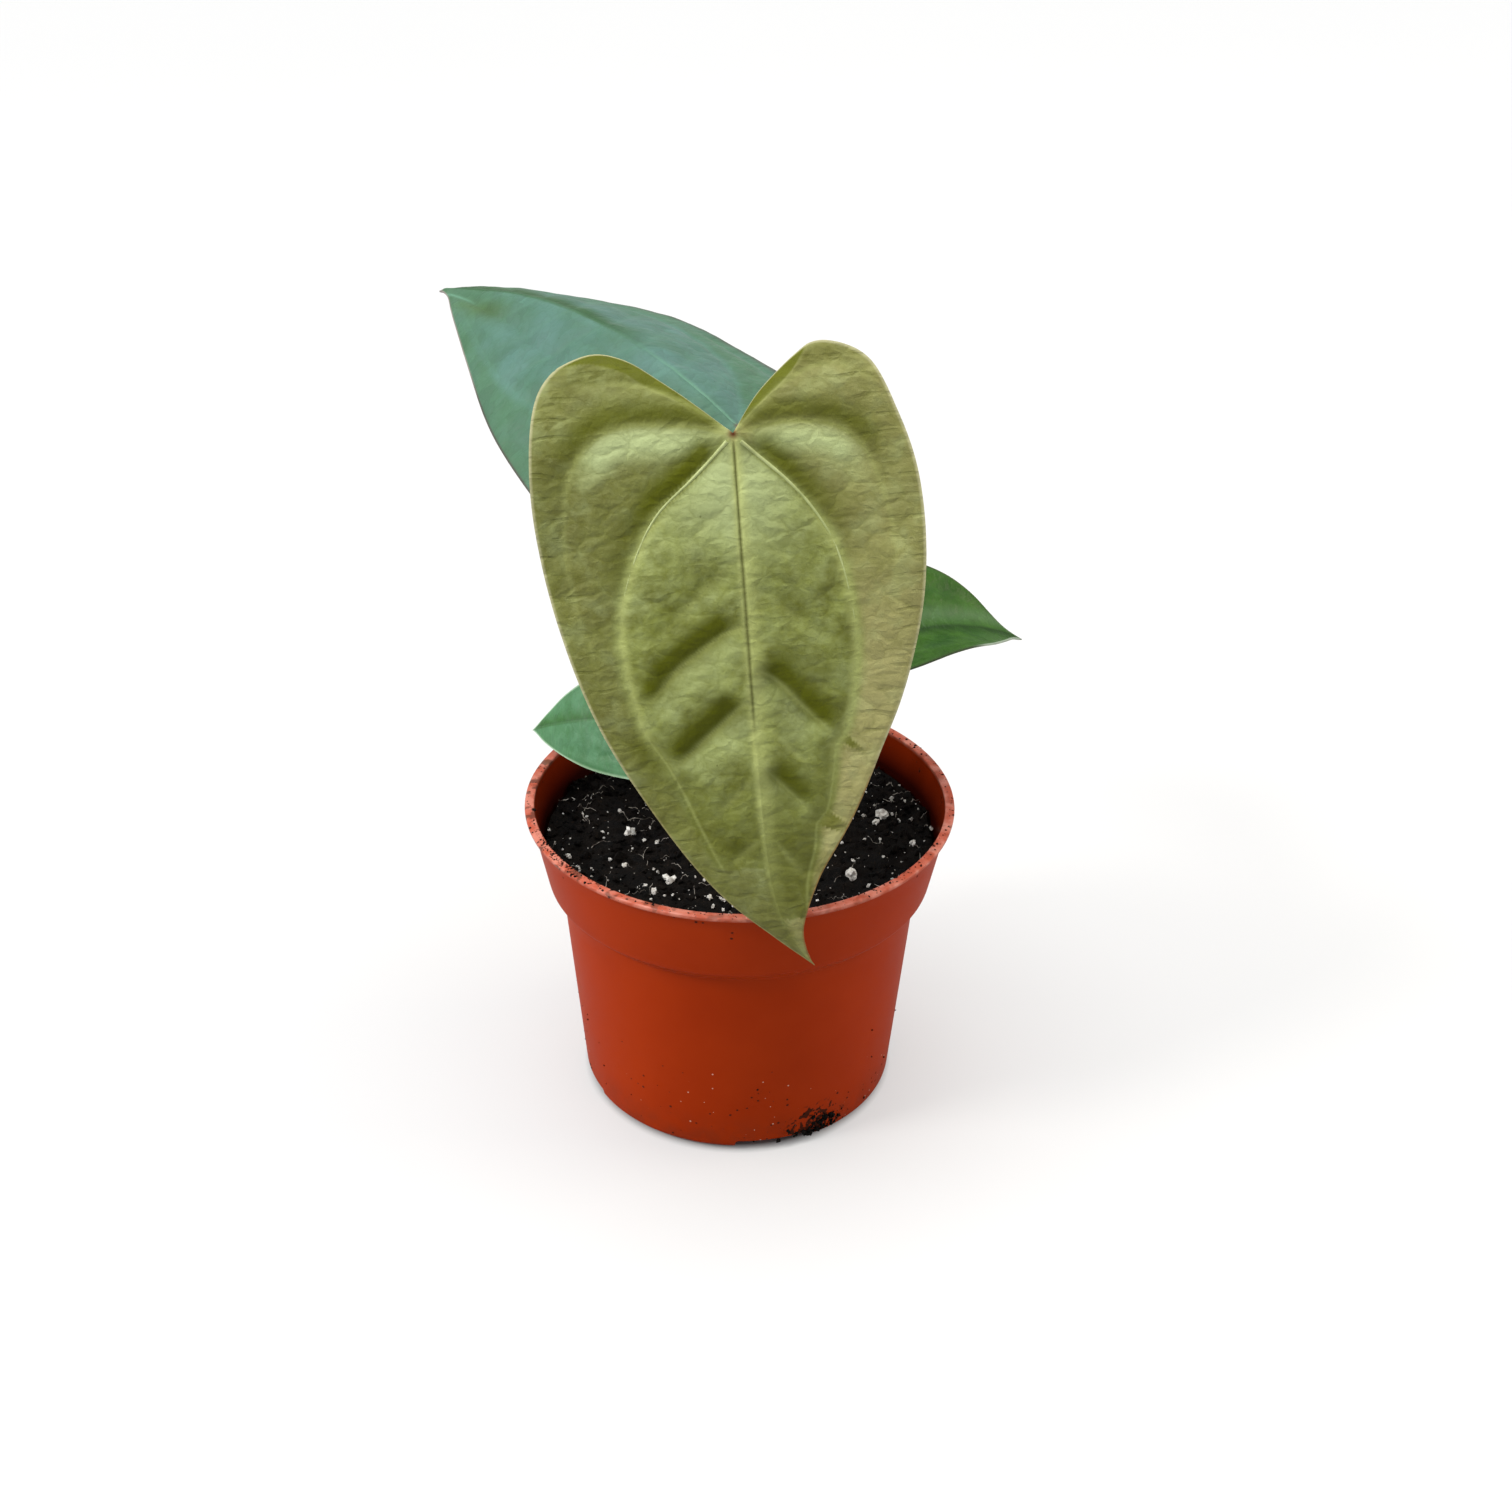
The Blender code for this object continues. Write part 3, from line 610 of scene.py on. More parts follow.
def finish_material(tree, shader, colour, roughness, height=None, bump=0.0003):
    tree.links.new(colour, shader.inputs["Base Color"])
    tree.links.new(roughness, shader.inputs["Roughness"])
    if height is not None:
        normal = add(tree, "ShaderNodeBump", {"Height": height, "Distance": bump})
        tree.links.new(normal.outputs[0], shader.inputs["Normal"])


# ---- Materials -----------------------------------------------------------------------------------
def lip_colour(tree, colour, place, across, lip, scuffs_and_highlight):
    """The lip rubbed pale and painted with a pale highlight, with streaks of soil, most of them on its left.
    """
    # The pale pink on the lip is partly wear and partly a painted highlight.
    rubbed_and_highlight = times(tree, lip, remap(tree, scuffs_and_highlight, 0.2, 0.9, 0.25, 0.70))
    colour = blend(tree, rubbed_and_highlight, colour, (0.72, 0.27, 0.19))
    streaks = mottled(tree, place, 5.0, 2.4)
    soiled_side = remap(tree, across, 15.0, -45.0, 0.25, 0.75)
    streaks = times(tree, remap(tree, streaks, 0.66, 0.92), lip)
    return tinted(tree, colour, streaks, soiled_side, (0.085, 0.028, 0.015))


def inner_wall_painted_shade(tree, colour, split):
    """Painted shade on the wall above the soil: darker inside the pot the lower it is."""
    height = split.outputs["Z"]
    level = add(tree, "ShaderNodeCombineXYZ", {0: split.outputs["X"], 1: split.outputs["Y"]}).outputs[0]
    radius = add(tree, "ShaderNodeVectorMath", {0: level}, operation="LENGTH").outputs["Value"]
    wall = remap(tree, height, COLLAR_LOW / MM, (POT_HEIGHT - LIP_THICKNESS) / MM,
                 (COLLAR_LOW_RADIUS - WALL / 2) / MM, (COLLAR_TOP_RADIUS - WALL / 2) / MM)
    inside = times(tree, maths(tree, "LESS_THAN", radius, wall),
                   times(tree, remap(tree, height, POT_HEIGHT / MM - 0.3, POT_HEIGHT / MM - 1.5),
                         maths(tree, "GREATER_THAN", height, (COLLAR_LOW + 0.002) / MM)))
    # Painted shade, deepening from the lip down to the soil.
    depth = remap(tree, height, POT_HEIGHT / MM - 1.0, SOIL_TOP / MM + 0.5)
    share = times(tree, inside, remap(tree, depth, 0.0, 1.0, 0.35, 0.97))
    return blend(tree, share, colour, (0.013, 0.0006, 0.0004))


def soil_smear(tree, place):
    """Where the pot is soiled round the clump at its foot, with a ragged edge."""
    clump = add(tree, "ShaderNodeVectorMath", {0: place, 1: CLUMP_PLACE}, operation="DISTANCE")
    ragged = mottled(tree, place, 1.5, 2.4)
    reach = maths(tree, "MULTIPLY_ADD", ragged, 9.0, 1.0)
    return remap(tree, maths(tree, "SUBTRACT", clump.outputs["Value"], reach), -1.0, 0.6, 0.9, 0.0)


def pot_dirt(tree, colour, place, height):
    """Dark and pale specks near foot and lip, and a darker mottled tint towards the foot; also the dark
    specks' mask.
    """
    low = remap(tree, height, 34.0, 3.0)
    high = remap(tree, height, POT_HEIGHT / MM - 9.0, POT_HEIGHT / MM - 0.5)
    patches = mottled(tree, place, 16.0, 2.4)
    share = times(tree, maths(tree, "MAXIMUM", low, high), remap(tree, patches, 0.35, 0.85, 0.07, 0.85))
    dark = specked(tree, place, 1.9, 0.34, share)
    colour = tinted(tree, colour, dark, 0.85, (0.030, 0.014, 0.009))
    share = times(tree, low, remap(tree, patches, 0.25, 0.75, 0.22, 1.0))
    pale = specked(tree, place, 2.3, 0.26, share)
    colour = tinted(tree, colour, pale, 0.8, (0.74, 0.52, 0.42))
    # Darker and browner towards the foot, in mottled patches.
    foot_darkening = times(tree, remap(tree, height, 14.0, 0.0), mottled(tree, place, 5.0, 2.0))
    return tinted(tree, colour, foot_darkening, 0.35, (0.10, 0.030, 0.016)), dark


def pot_plastic():
    """Terracotta plastic: satin, faintly clouded, scuffed at the lip with a painted highlight there, painted
    shade on the inner wall, and dirty near rim and foot.
    """
    material, tree, shader = new_material(
        "terracotta plastic", Specular_IOR_Level=0.05, Coat_Roughness=0.16)
    place = place_in_mm(tree)
    split = add(tree, "ShaderNodeSeparateXYZ", {0: place})
    height = split.outputs["Z"]
    clouds = mottled(tree, place, 22.0, 0.8)
    fine = grained(tree, place, 0.25)
    lip = remap(tree, height, POT_HEIGHT / MM - 1.5, POT_HEIGHT / MM - 0.6)
    # Patches for the lip's wear, its painted highlight and its gloss.
    scuffs_and_highlight = mottled(tree, place, 4.0, 1.4)

    colour = blend(tree, clouds, (0.370, 0.029, 0.001), (0.425, 0.037, 0.002))
    colour = lip_colour(tree, colour, place, split.outputs["X"], lip, scuffs_and_highlight)
    # Painted shade on the inner wall.
    colour = inner_wall_painted_shade(tree, colour, split)
    smear = soil_smear(tree, place)
    colour = blend(tree, smear, colour, (0.028, 0.012, 0.007))
    colour, dark = pot_dirt(tree, colour, place, height)

    rough = maths(tree, "MULTIPLY_ADD", clouds, 0.08, 0.34)
    rough = maths(tree, "SUBTRACT", rough, times(tree, lip, 0.06))
    for dirt in (dark, smear):
        rough = maths(tree, "MAXIMUM", rough, times(tree, dirt, 0.9))
    gloss = times(tree, lip, remap(tree, scuffs_and_highlight, 0.2, 0.8, 0.25, 1.0))
    tree.links.new(gloss, shader.inputs["Coat Weight"])
    finish_material(tree, shader, colour, rough, maths(tree, "MULTIPLY_ADD", fine, 0.20, dark), bump=0.00010)
    return material


def peat_soil():
    """Moist peat: near black, with browner fibres, pale dust and a few painted damp glints."""
    material, tree, shader = new_material("peat soil", Specular_IOR_Level=0.12)
    place = place_in_mm(tree)
    patches = mottled(tree, place, 3.5, 1.6)
    grain = grained(tree, place, 0.5)
    colour = blend(tree, patches, (0.0014, 0.0012, 0.0012), (0.0060, 0.0044, 0.0035))
    fibre = add(tree, "ShaderNodeTexNoise", {"Vector": place, "Scale": 0.9, "Detail": 5.0, "Distortion": 3.0})
    strands = remap(tree, fibre.outputs["Fac"], 0.60, 0.72)
    colour = tinted(tree, colour, strands, 0.6, (0.050, 0.030, 0.018))
    # Pale specks: partly dust and partly painted damp glints, a painted highlight.
    dust = specked(tree, place, 1.7, 0.16, 0.22)
    colour = tinted(tree, colour, dust, 0.8, (0.50, 0.46, 0.40))
    rough = remap(tree, patches, 0.0, 1.0, 0.75, 0.96)
    finish_material(tree, shader, colour, rough, grain, bump=0.0006)
    return material


def perlite_skin():
    """Popped volcanic glass: chalk white and pitted, with painted shade in the pits."""
    material, tree, shader = new_material("perlite")
    place = place_in_mm(tree)
    patches = mottled(tree, place, 0.9, 1.4)
    colour = blend(tree, patches, (0.60, 0.57, 0.52), (0.88, 0.87, 0.84))
    pits = specked(tree, place, 0.5, 0.14, 0.5)
    # Painted shade: the pits painted darker.
    colour = tinted(tree, colour, pits, 0.5, (0.22, 0.17, 0.13))
    height = maths(tree, "SUBTRACT", patches, pits)
    finish_material(tree, shader, colour, remap(tree, patches, 0.0, 1.0, 0.95, 0.8), height, bump=0.0002)
    return material


def fibre_skin():
    """Pale coir and moss threads."""
    material, tree, shader = new_material("pale fibre")
    place = place_in_mm(tree)
    patches = mottled(tree, place, 2.5, 2.0)
    colour = blend(tree, patches, (0.07, 0.055, 0.045), (0.58, 0.54, 0.48))
    finish_material(tree, shader, colour, remap(tree, patches, 0.0, 1.0, 0.8, 0.6), patches, bump=0.00005)
    return material


def stem_skin():
    """The crown: olive under corky brown scars and rings."""
    material, tree, shader = new_material("crown skin")
    place = place_in_mm(tree)
    height = add(tree, "ShaderNodeSeparateXYZ", {0: place}).outputs["Z"]
    patches = mottled(tree, place, 2.0, 1.8)
    rings = add(tree, "ShaderNodeTexWave", {"Vector": place, "Scale": 0.12, "Distortion": 2.0, "Detail": 3.0},
                bands_direction="Z")
    colour = blend(tree, patches, (0.13, 0.15, 0.040), (0.24, 0.16, 0.070))
    colour = tinted(tree, colour, rings.outputs["Fac"], 0.5, (0.085, 0.050, 0.026))
    soiled = remap(tree, height, (SOIL_TOP + 0.0045) / MM, SOIL_TOP / MM)
    colour = tinted(tree, colour, soiled, 0.7, (0.022, 0.014, 0.009))
    finish_material(tree, shader, colour, remap(tree, patches, 0.0, 1.0, 0.55, 0.8),
                    maths(tree, "ADD", rings.outputs["Fac"], patches), bump=0.00025)
    return material


def root_skin():
    """Thick aerial roots: a tan felt, paler at the tips, with soil stuck to it."""
    material, tree, shader = new_material("root skin")
    place = place_in_mm(tree)
    patches = mottled(tree, place, 1.6, 1.6)
    stuck = specked(tree, place, 0.9, 0.3, 0.4)
    colour = blend(tree, patches, (0.42, 0.31, 0.18), (0.66, 0.57, 0.40))
    colour = tinted(tree, colour, stuck, 0.8, (0.03, 0.02, 0.014))
    finish_material(tree, shader, colour, remap(tree, patches, 0.0, 1.0, 0.7, 0.9), patches, bump=0.0002)
    return material


def sheath_paper():
    """Dry leaf sheaths: brown paper with long fibres and paler torn edges."""
    material, tree, shader = new_material("dry sheath")
    place = place_in_mm(tree)
    long_place = add(tree, "ShaderNodeMapping", {"Vector": place, "Scale": (1.0, 1.0, 0.12)}).outputs[0]
    fibres = mottled(tree, long_place, 0.35, 1.6)
    patches = mottled(tree, place, 3.0, 1.5)
    colour = blend(tree, fibres, (0.15, 0.080, 0.038), (0.40, 0.26, 0.13))
    colour = tinted(tree, colour, patches, 0.5, (0.24, 0.20, 0.085))
    height = add(tree, "ShaderNodeSeparateXYZ", {0: place}).outputs["Z"]
    top = remap(tree, height, (CROWN_TOP + 0.004) / MM, (CROWN_TOP + 0.012) / MM)
    colour = tinted(tree, colour, top, 0.7, (0.50, 0.38, 0.22))
    finish_material(tree, shader, colour, remap(tree, fibres, 0.0, 1.0, 0.6, 0.85), fibres, bump=0.00012)
    return material


def petiole_skin():
    """Stalks: olive green with fine lengthwise streaks, a browner knee and foot, and pale dots."""
    material, tree, shader = new_material("stalk skin", Coat_Weight=0.1, Coat_Roughness=0.3)
    place = place_in_mm(tree)
    long_place = add(tree, "ShaderNodeMapping", {"Vector": place, "Scale": (1.0, 1.0, 0.10)}).outputs[0]
    streaks = mottled(tree, long_place, 0.5, 1.4)
    patches = mottled(tree, place, 9.0, 1.4)
    colour = blend(tree, streaks, (0.105, 0.150, 0.032), (0.190, 0.245, 0.062))
    colour = tinted(tree, colour, patches, 0.45, (0.200, 0.135, 0.050))
    knee = attribute(tree, "knee")
    foot = attribute(tree, "foot")
    colour = tinted(tree, colour, knee, 0.75, (0.235, 0.190, 0.070))
    colour = tinted(tree, colour, foot, 0.6, (0.250, 0.160, 0.075))
    dots = specked(tree, place, 1.2, 0.10, 0.45)
    colour = tinted(tree, colour, dots, 0.5, (0.33, 0.34, 0.16))
    height = maths(tree, "ADD", times(tree, streaks, 0.6), dots)
    finish_material(tree, shader, colour, remap(tree, patches, 0.0, 1.0, 0.42, 0.56), height, bump=0.00008)
    return material


@dataclass
class BladeLook:
    """Colours of one blade's upper side, linear, and how it takes the light."""

    name: str
    deep: tuple
    light: tuple
    # The valley colour is painted shade: the dark saturated olive of the quilting's valleys. It also colours
    # the dark veinlets and rungs.
    valley_shade: tuple
    # The raised colour is a painted sheen: the pale sage that the quilting's crests reflect.
    painted_sheen: tuple
    vein: tuple
    # The crease colour is painted shade in the midrib's groove; it also colours the blade's dark dots.
    crease_shade: tuple
    edge: tuple
    lobe_edge: tuple        # of the margin round the lobes
    right_edge: tuple       # of the margin on the right half
    right_edge_width: float
    under: tuple
    under_vein: tuple
    aged: tuple             # towards the tip and in the outer band
    patch_tint_and_gloss: tuple         # of the strip or patch that is paler or darker than the rest; on the right blade, a painted gloss
    patch: float            # width of its colour patches, in millimetres
    roughness: float
    cell: float             # width of the net's cells, in millimetres
    net_line: float         # strength of the net's lines
    bump: float
    sheen: float
    specular: float


def blade_net(tree, look, flat, line_width):
    stretched = add(tree, "ShaderNodeMapping", {"Vector": flat, "Scale": (1.0, 0.62, 1.0)}).outputs[0]
    return place_group(tree, NET, Vector=stretched, Cell=look.cell, Line_Width=line_width, Wander=0.7)


def blade_rungs(tree, flat):
    """Short cross veins of the outer band, one every few millimetres."""
    waves = add(tree, "ShaderNodeTexWave", {"Vector": flat, "Scale": 0.064, "Distortion": 4.5, "Detail": 2.0,
                                            "Detail Scale": 0.6})
    line = remap(tree, waves.outputs["Fac"], 0.86, 1.0, smooth=True)
    broken = mottled(tree, flat, 4.0, 2.5)
    near = remap(tree, attribute(tree, "margin"), 6.0, 12.0, 1.0, 0.25)
    band = times(tree, near, attribute(tree, "outer"))
    return times(tree, times(tree, line, broken), band)


def blade_colour(tree, look, flat, net, rungs):
    """Colour of the upper side before its edge: patches, the quilting's painted sheen and painted shade, net
    and the larger veins.
    """
    clouds = mottled(tree, flat, look.patch, 1.7)
    small = mottled(tree, flat, 2.0, 1.2)
    colour = blend(tree, clouds, look.deep, look.light)
    # Small patches of painted sheen.
    colour = blend(tree, remap(tree, small, 0.0, 1.0, 0.0, 0.20), colour, look.painted_sheen)
    blotches = mottled(tree, flat, look.patch * 0.8, 1.4)
    tip, outer = times(tree, attribute(tree, "tip"), 0.75), times(tree, attribute(tree, "outer"), 0.50)
    aged = maths(tree, "MAXIMUM", tip, outer)
    colour = blend(tree, aged, colour, look.aged)
    # Paler and darker patches of the blade's own, and on the right blade a stripe of painted gloss.
    colour = blend(tree, attribute(tree, "patch_tint_and_gloss"), colour, look.patch_tint_and_gloss)
    # Larger patches of painted sheen and of the darker valley colour.
    colour = blend(tree, remap(tree, blotches, 0.5, 1.0, 0.0, 0.22), colour, look.painted_sheen)
    colour = blend(tree, remap(tree, blotches, 0.5, 0.0, 0.0, 0.14), colour, look.valley_shade)
    # Painted light on the crests below the veins, in the sheen colour.
    colour = blend(tree, attribute(tree, "lit"), colour, look.painted_sheen)
    # Painted shade in the valleys above the veins.
    colour = blend(tree, remap(tree, attribute(tree, "valley_shade"), 0.0, 0.85, 0.0, 0.96), colour, look.valley_shade)
    # The blade's own dark dots, in the crease colour.
    dots = specked(tree, flat, 4.5, 0.22, 0.35)
    colour = tinted(tree, colour, dots, 0.5, look.crease_shade)
    shade = remap(tree, net["Shade"], 0.0, 1.0, 0.91, 1.08)
    tint = add(tree, "ShaderNodeCombineColor", {0: shade, 1: shade, 2: shade}).outputs[0]
    colour = blend(tree, 1.0, colour, tint, way="MULTIPLY")
    # Dark veinlets and rungs, in the valley colour.
    colour = tinted(tree, colour, net["Line"], look.net_line, look.valley_shade)
    colour = tinted(tree, colour, rungs, 0.14, look.valley_shade)
    colour = blend(tree, attribute(tree, "vein"), colour, look.vein)
    # Painted shade in the midrib's groove.
    return blend(tree, attribute(tree, "crease_shade"), colour, look.crease_shade), small


def margin_colour(tree, look, flat):
    """The margin's colour on each half and towards the tip, and how far to the left a place is."""
    half = add(tree, "ShaderNodeSeparateXYZ", {0: flat}).outputs["Y"]
    edge = blend(tree, remap(tree, half, -0.5, 0.5), look.right_edge, look.edge)
    return blend(tree, remap(tree, attribute(tree, "tip"), 0.0, 0.15), look.lobe_edge, edge), half


def blade_upper(look):
    """The upper side: quilted and netted, with painted sheen, light and shade on its relief, its margin, its
    veins and a red dot at the hold.
    """
    material, tree, shader = new_material(
        look.name + " upper", Sheen_Weight=look.sheen, Sheen_Roughness=0.4,
        Specular_IOR_Level=look.specular)
    flat = flat_place(tree)
    net = blade_net(tree, look, flat, 0.10)
    rungs = blade_rungs(tree, flat)
    colour, small = blade_colour(tree, look, flat, net, rungs)
    edge, half = margin_colour(tree, look, flat)
    widest = times(tree, remap(tree, half, -0.5, 0.5, look.right_edge_width, 0.8),
                   remap(tree, attribute(tree, "tip"), 0.0, 0.15, 1.4, 1.0))
    rim = remap(tree, attribute(tree, "margin"), 0.15, widest, 1.0, 0.0, smooth=True)
    colour = tinted(tree, colour, rim, 0.85, edge)
    colour = blend(tree, attribute(tree, "heart"), colour, (0.13, 0.032, 0.012))
    rough = maths(tree, "MULTIPLY_ADD", small, 0.10, look.roughness)
    fine = grained(tree, flat, 0.35)
    height = maths(tree, "MULTIPLY_ADD", net["Dome"], 0.50, times(tree, fine, 0.22))
    height = maths(tree, "MULTIPLY_ADD", rungs, -0.35, height)
    crumple = mottled(tree, flat, 3.2, 1.6)
    height = maths(tree, "MULTIPLY_ADD", crumple, 0.30, height)
    finish_material(tree, shader, colour, rough, height, bump=look.bump)
    return material


def blade_under(look):
    """The underside: paler and duller, with its veins standing up."""
    material, tree, shader = new_material(look.name + " underside")
    flat = flat_place(tree)
    clouds = mottled(tree, flat, 11.0, 1.0)
    net = blade_net(tree, look, flat, 0.14)
    darker = tuple(0.82 * part for part in look.under)
    colour = blend(tree, clouds, darker, look.under)
    colour = tinted(tree, colour, net["Line"], 0.30, look.under_vein)
    colour = blend(tree, maths(tree, "MAXIMUM", attribute(tree, "vein"), attribute(tree, "rib")),
                   colour, look.under_vein)
    rough = maths(tree, "MULTIPLY_ADD", clouds, 0.08, 0.52)
    finish_material(tree, shader, colour, rough, net["Line"], bump=look.bump * 0.6)
    return material


def blade_rim(look):
    """The cut-thin margin between the two sides."""
    material, tree, shader = new_material(look.name + " margin")
    flat = flat_place(tree)
    clouds = mottled(tree, flat, 6.0, 1.6)
    edge, _ = margin_colour(tree, look, flat)
    darker = blend(tree, 1.0, edge, (0.75, 0.75, 0.75), way="MULTIPLY")
    colour = blend(tree, clouds, darker, edge)
    finish_material(tree, shader, colour, remap(tree, clouds, 0.0, 1.0, 0.45, 0.6), clouds, bump=0.00005)
    return material


LOOKS = {
    "front": BladeLook(
        name="olive blade", deep=(0.135, 0.148, 0.024), light=(0.225, 0.255, 0.058),
        valley_shade=(0.096, 0.108, 0.0005), painted_sheen=(0.420, 0.490, 0.225), vein=(0.510, 0.560, 0.200),
        crease_shade=(0.070, 0.072, 0.010), edge=(0.240, 0.140, 0.048), lobe_edge=(0.470, 0.455, 0.255),
        right_edge=(0.300, 0.270, 0.110), right_edge_width=0.8,
        under=(0.190, 0.180, 0.075), under_vein=(0.300, 0.300, 0.140),
        aged=(0.158, 0.152, 0.046), patch_tint_and_gloss=(0.430, 0.400, 0.165), patch=9.0, roughness=0.46, cell=4.2,
        net_line=0.14, bump=0.00046, sheen=0.0, specular=0.14),
    "back": BladeLook(
        name="teal blade", deep=(0.050, 0.140, 0.082), light=(0.074, 0.174, 0.146),
        valley_shade=(0.015, 0.075, 0.014), painted_sheen=(0.100, 0.215, 0.180), vein=(0.125, 0.290, 0.190),
        crease_shade=(0.018, 0.066, 0.022), edge=(0.260, 0.220, 0.200), lobe_edge=(0.050, 0.030, 0.028),
        right_edge=(0.040, 0.016, 0.018), right_edge_width=4.4,
        under=(0.150, 0.200, 0.110), under_vein=(0.240, 0.290, 0.150),
        aged=(0.048, 0.140, 0.050), patch_tint_and_gloss=(0.052, 0.112, 0.026), patch=21.0, roughness=0.50, cell=3.2,
        net_line=0.10, bump=0.00018, sheen=0.10, specular=0.35),
    "right": BladeLook(
        name="green blade", deep=(0.014, 0.066, 0.001), light=(0.040, 0.118, 0.006),
        valley_shade=(0.012, 0.050, 0.0005), painted_sheen=(0.070, 0.160, 0.040), vein=(0.075, 0.175, 0.035),
        crease_shade=(0.010, 0.036, 0.003), edge=(0.060, 0.090, 0.030), lobe_edge=(0.030, 0.060, 0.010),
        right_edge=(0.400, 0.480, 0.380), right_edge_width=0.9,
        under=(0.100, 0.190, 0.065), under_vein=(0.200, 0.310, 0.120),
        aged=(0.026, 0.092, 0.003), patch_tint_and_gloss=(0.085, 0.165, 0.062), patch=10.0, roughness=0.36, cell=2.4,
        net_line=0.07, bump=0.00020, sheen=0.0, specular=0.22),
    "left": BladeLook(
        name="blue-green blade", deep=(0.045, 0.165, 0.050), light=(0.085, 0.240, 0.110),
        valley_shade=(0.025, 0.120, 0.015), painted_sheen=(0.105, 0.280, 0.150), vein=(0.170, 0.380, 0.200),
        crease_shade=(0.022, 0.090, 0.024), edge=(0.380, 0.560, 0.380), lobe_edge=(0.300, 0.470, 0.290),
        right_edge=(0.380, 0.560, 0.380), right_edge_width=0.8,
        under=(0.130, 0.240, 0.110), under_vein=(0.230, 0.360, 0.180),
        aged=(0.065, 0.215, 0.080), patch_tint_and_gloss=(0.070, 0.215, 0.090), patch=8.0, roughness=0.46, cell=2.2,
        net_line=0.08, bump=0.00014, sheen=0.05, specular=0.4),
}


def cord_skin():
    """The pale cords of the basal veins."""
    material, tree, shader = new_material("vein cord", Specular_IOR_Level=0.35)
    place = place_in_mm(tree)
    patches = mottled(tree, place, 4.0, 1.2)
    colour = blend(tree, patches, (0.360, 0.410, 0.150), (0.520, 0.580, 0.260))
    finish_material(tree, shader, colour, remap(tree, patches, 0.0, 1.0, 0.5, 0.42), patches, bump=0.00004)
    return material


# ---- Pot -----------------------------------------------------------------------------------------
def inner_wall(gap):
    step_wall = WALL * 0.5
    return [
        (COLLAR_TOP_RADIUS - WALL - gap, POT_HEIGHT - LIP_THICKNESS),
        (COLLAR_LOW_RADIUS - WALL - gap, COLLAR_LOW + step_wall),
        (BODY_TOP_RADIUS - WALL - gap, BODY_TOP + step_wall),
        (FOOT_RADIUS - WALL - gap, BASE_TOP + FOOT_CORNER + gap),
        (FOOT_OUTER - WALL - gap, BASE_TOP + gap),
        (PAD_RADIUS - gap, BASE_TOP + gap),
        (PAD_RADIUS - WALL - BASE_LIFT / 2 - gap, WALL + gap),
    ]


def pot_cutters():
    """The notches in the foot and the drain holes in the base, as shapes to take away."""
    for index in range(NOTCH_COUNT):
        turn = NOTCH_TURN + index * math.tau / NOTCH_COUNT
        depth = FOOT_RADIUS - FOOT_INNER + 4 * WALL
        middle = FOOT_RADIUS + WALL - depth / 2
        deselect_all()
        bpy.ops.mesh.primitive_cube_add(size=1.0, rotation=(0.0, 0.0, turn),
                                        location=(middle * math.cos(turn), middle * math.sin(turn), 0.0))
        cutter = bpy.context.active_object
        cutter.scale = (depth, NOTCH_WIDTH, 2 * NOTCH_HEIGHT)
        bpy.ops.object.transform_apply(location=True, rotation=True, scale=True)
        corners = cutter.modifiers.new("corners", "BEVEL")
        corners.width = 0.0009
        corners.segments = 3
        apply_modifiers(cutter)
        yield cutter
    for index in range(DRAIN_COUNT):
        turn = DRAIN_TURN + index * math.tau / DRAIN_COUNT
        deselect_all()
        bpy.ops.mesh.primitive_cylinder_add(
            vertices=40, radius=DRAIN_RADIUS, depth=3 * WALL,
            location=(DRAIN_RING_RADIUS * math.cos(turn), DRAIN_RING_RADIUS * math.sin(turn),
                      BASE_LIFT + WALL / 2))
        cutter = bpy.context.active_object
        bpy.ops.object.transform_apply(location=True, rotation=True, scale=True)
        yield cutter


def make_pot():
    outside = [
        (PAD_RADIUS - BASE_LIFT / 2, POT_LOW.z), (PAD_RADIUS + WALL, BASE_LIFT),
        (FOOT_INNER - WALL, BASE_LIFT), (FOOT_INNER, POT_LOW.z), (FOOT_OUTER, POT_LOW.z),
        (FOOT_RADIUS, FOOT_CORNER), (BODY_TOP_RADIUS, BODY_TOP),
        (COLLAR_LOW_RADIUS - WALL * 0.3, COLLAR_LOW - WALL * 0.6),
        (COLLAR_LOW_RADIUS, COLLAR_LOW + WALL * 0.6),
        (COLLAR_TOP_RADIUS, POT_HEIGHT - LIP_THICKNESS), (RIM_RADIUS, POT_HEIGHT - LIP_THICKNESS),
        (RIM_RADIUS, POT_HEIGHT), (RIM_RADIUS - LIP_WIDTH, POT_HEIGHT),
    ]
    pot = turned(eased(outside + inner_wall(0.0), POT_EASE), POT_SIDES, height_steps=0.0060)
    for cutter in pot_cutters():
        cut_away(pot, cutter)
    put_on(pot, "pot_shell", pot_plastic(), "pot_plastic", ["pot"], smooth=32.0)


# ---- Soil and what lies on it --------------------------------------------------------------------
def soil_height(x, y):
    """Surface of the soil: low clods, a mound round the crown and a dip along the wall."""
    radius = np.hypot(x, y)
    clods = (np.sin(310 * x + 140 * y) + np.sin(-190 * x + 260 * y + 1.3)
             + 0.7 * np.sin(420 * x - 330 * y + 0.4))
    mound = 0.0016 * np.exp(-((radius / 0.016) ** 2))
    dip = 0.0012 * (radius / RIM_RADIUS) ** 6
    return SOIL_TOP + SOIL_CLODS * clods / 2.7 + mound - dip


def soil_roughness(x, y):
    """Crumbly relief on top of the clods."""
    place = Vector((x / 0.0042, y / 0.0042, 0.0))
    return (0.0011 * noise.noise(place) + 0.0009 * noise.noise(place * 2.7)
            + 0.0005 * noise.noise(place * 6.5))


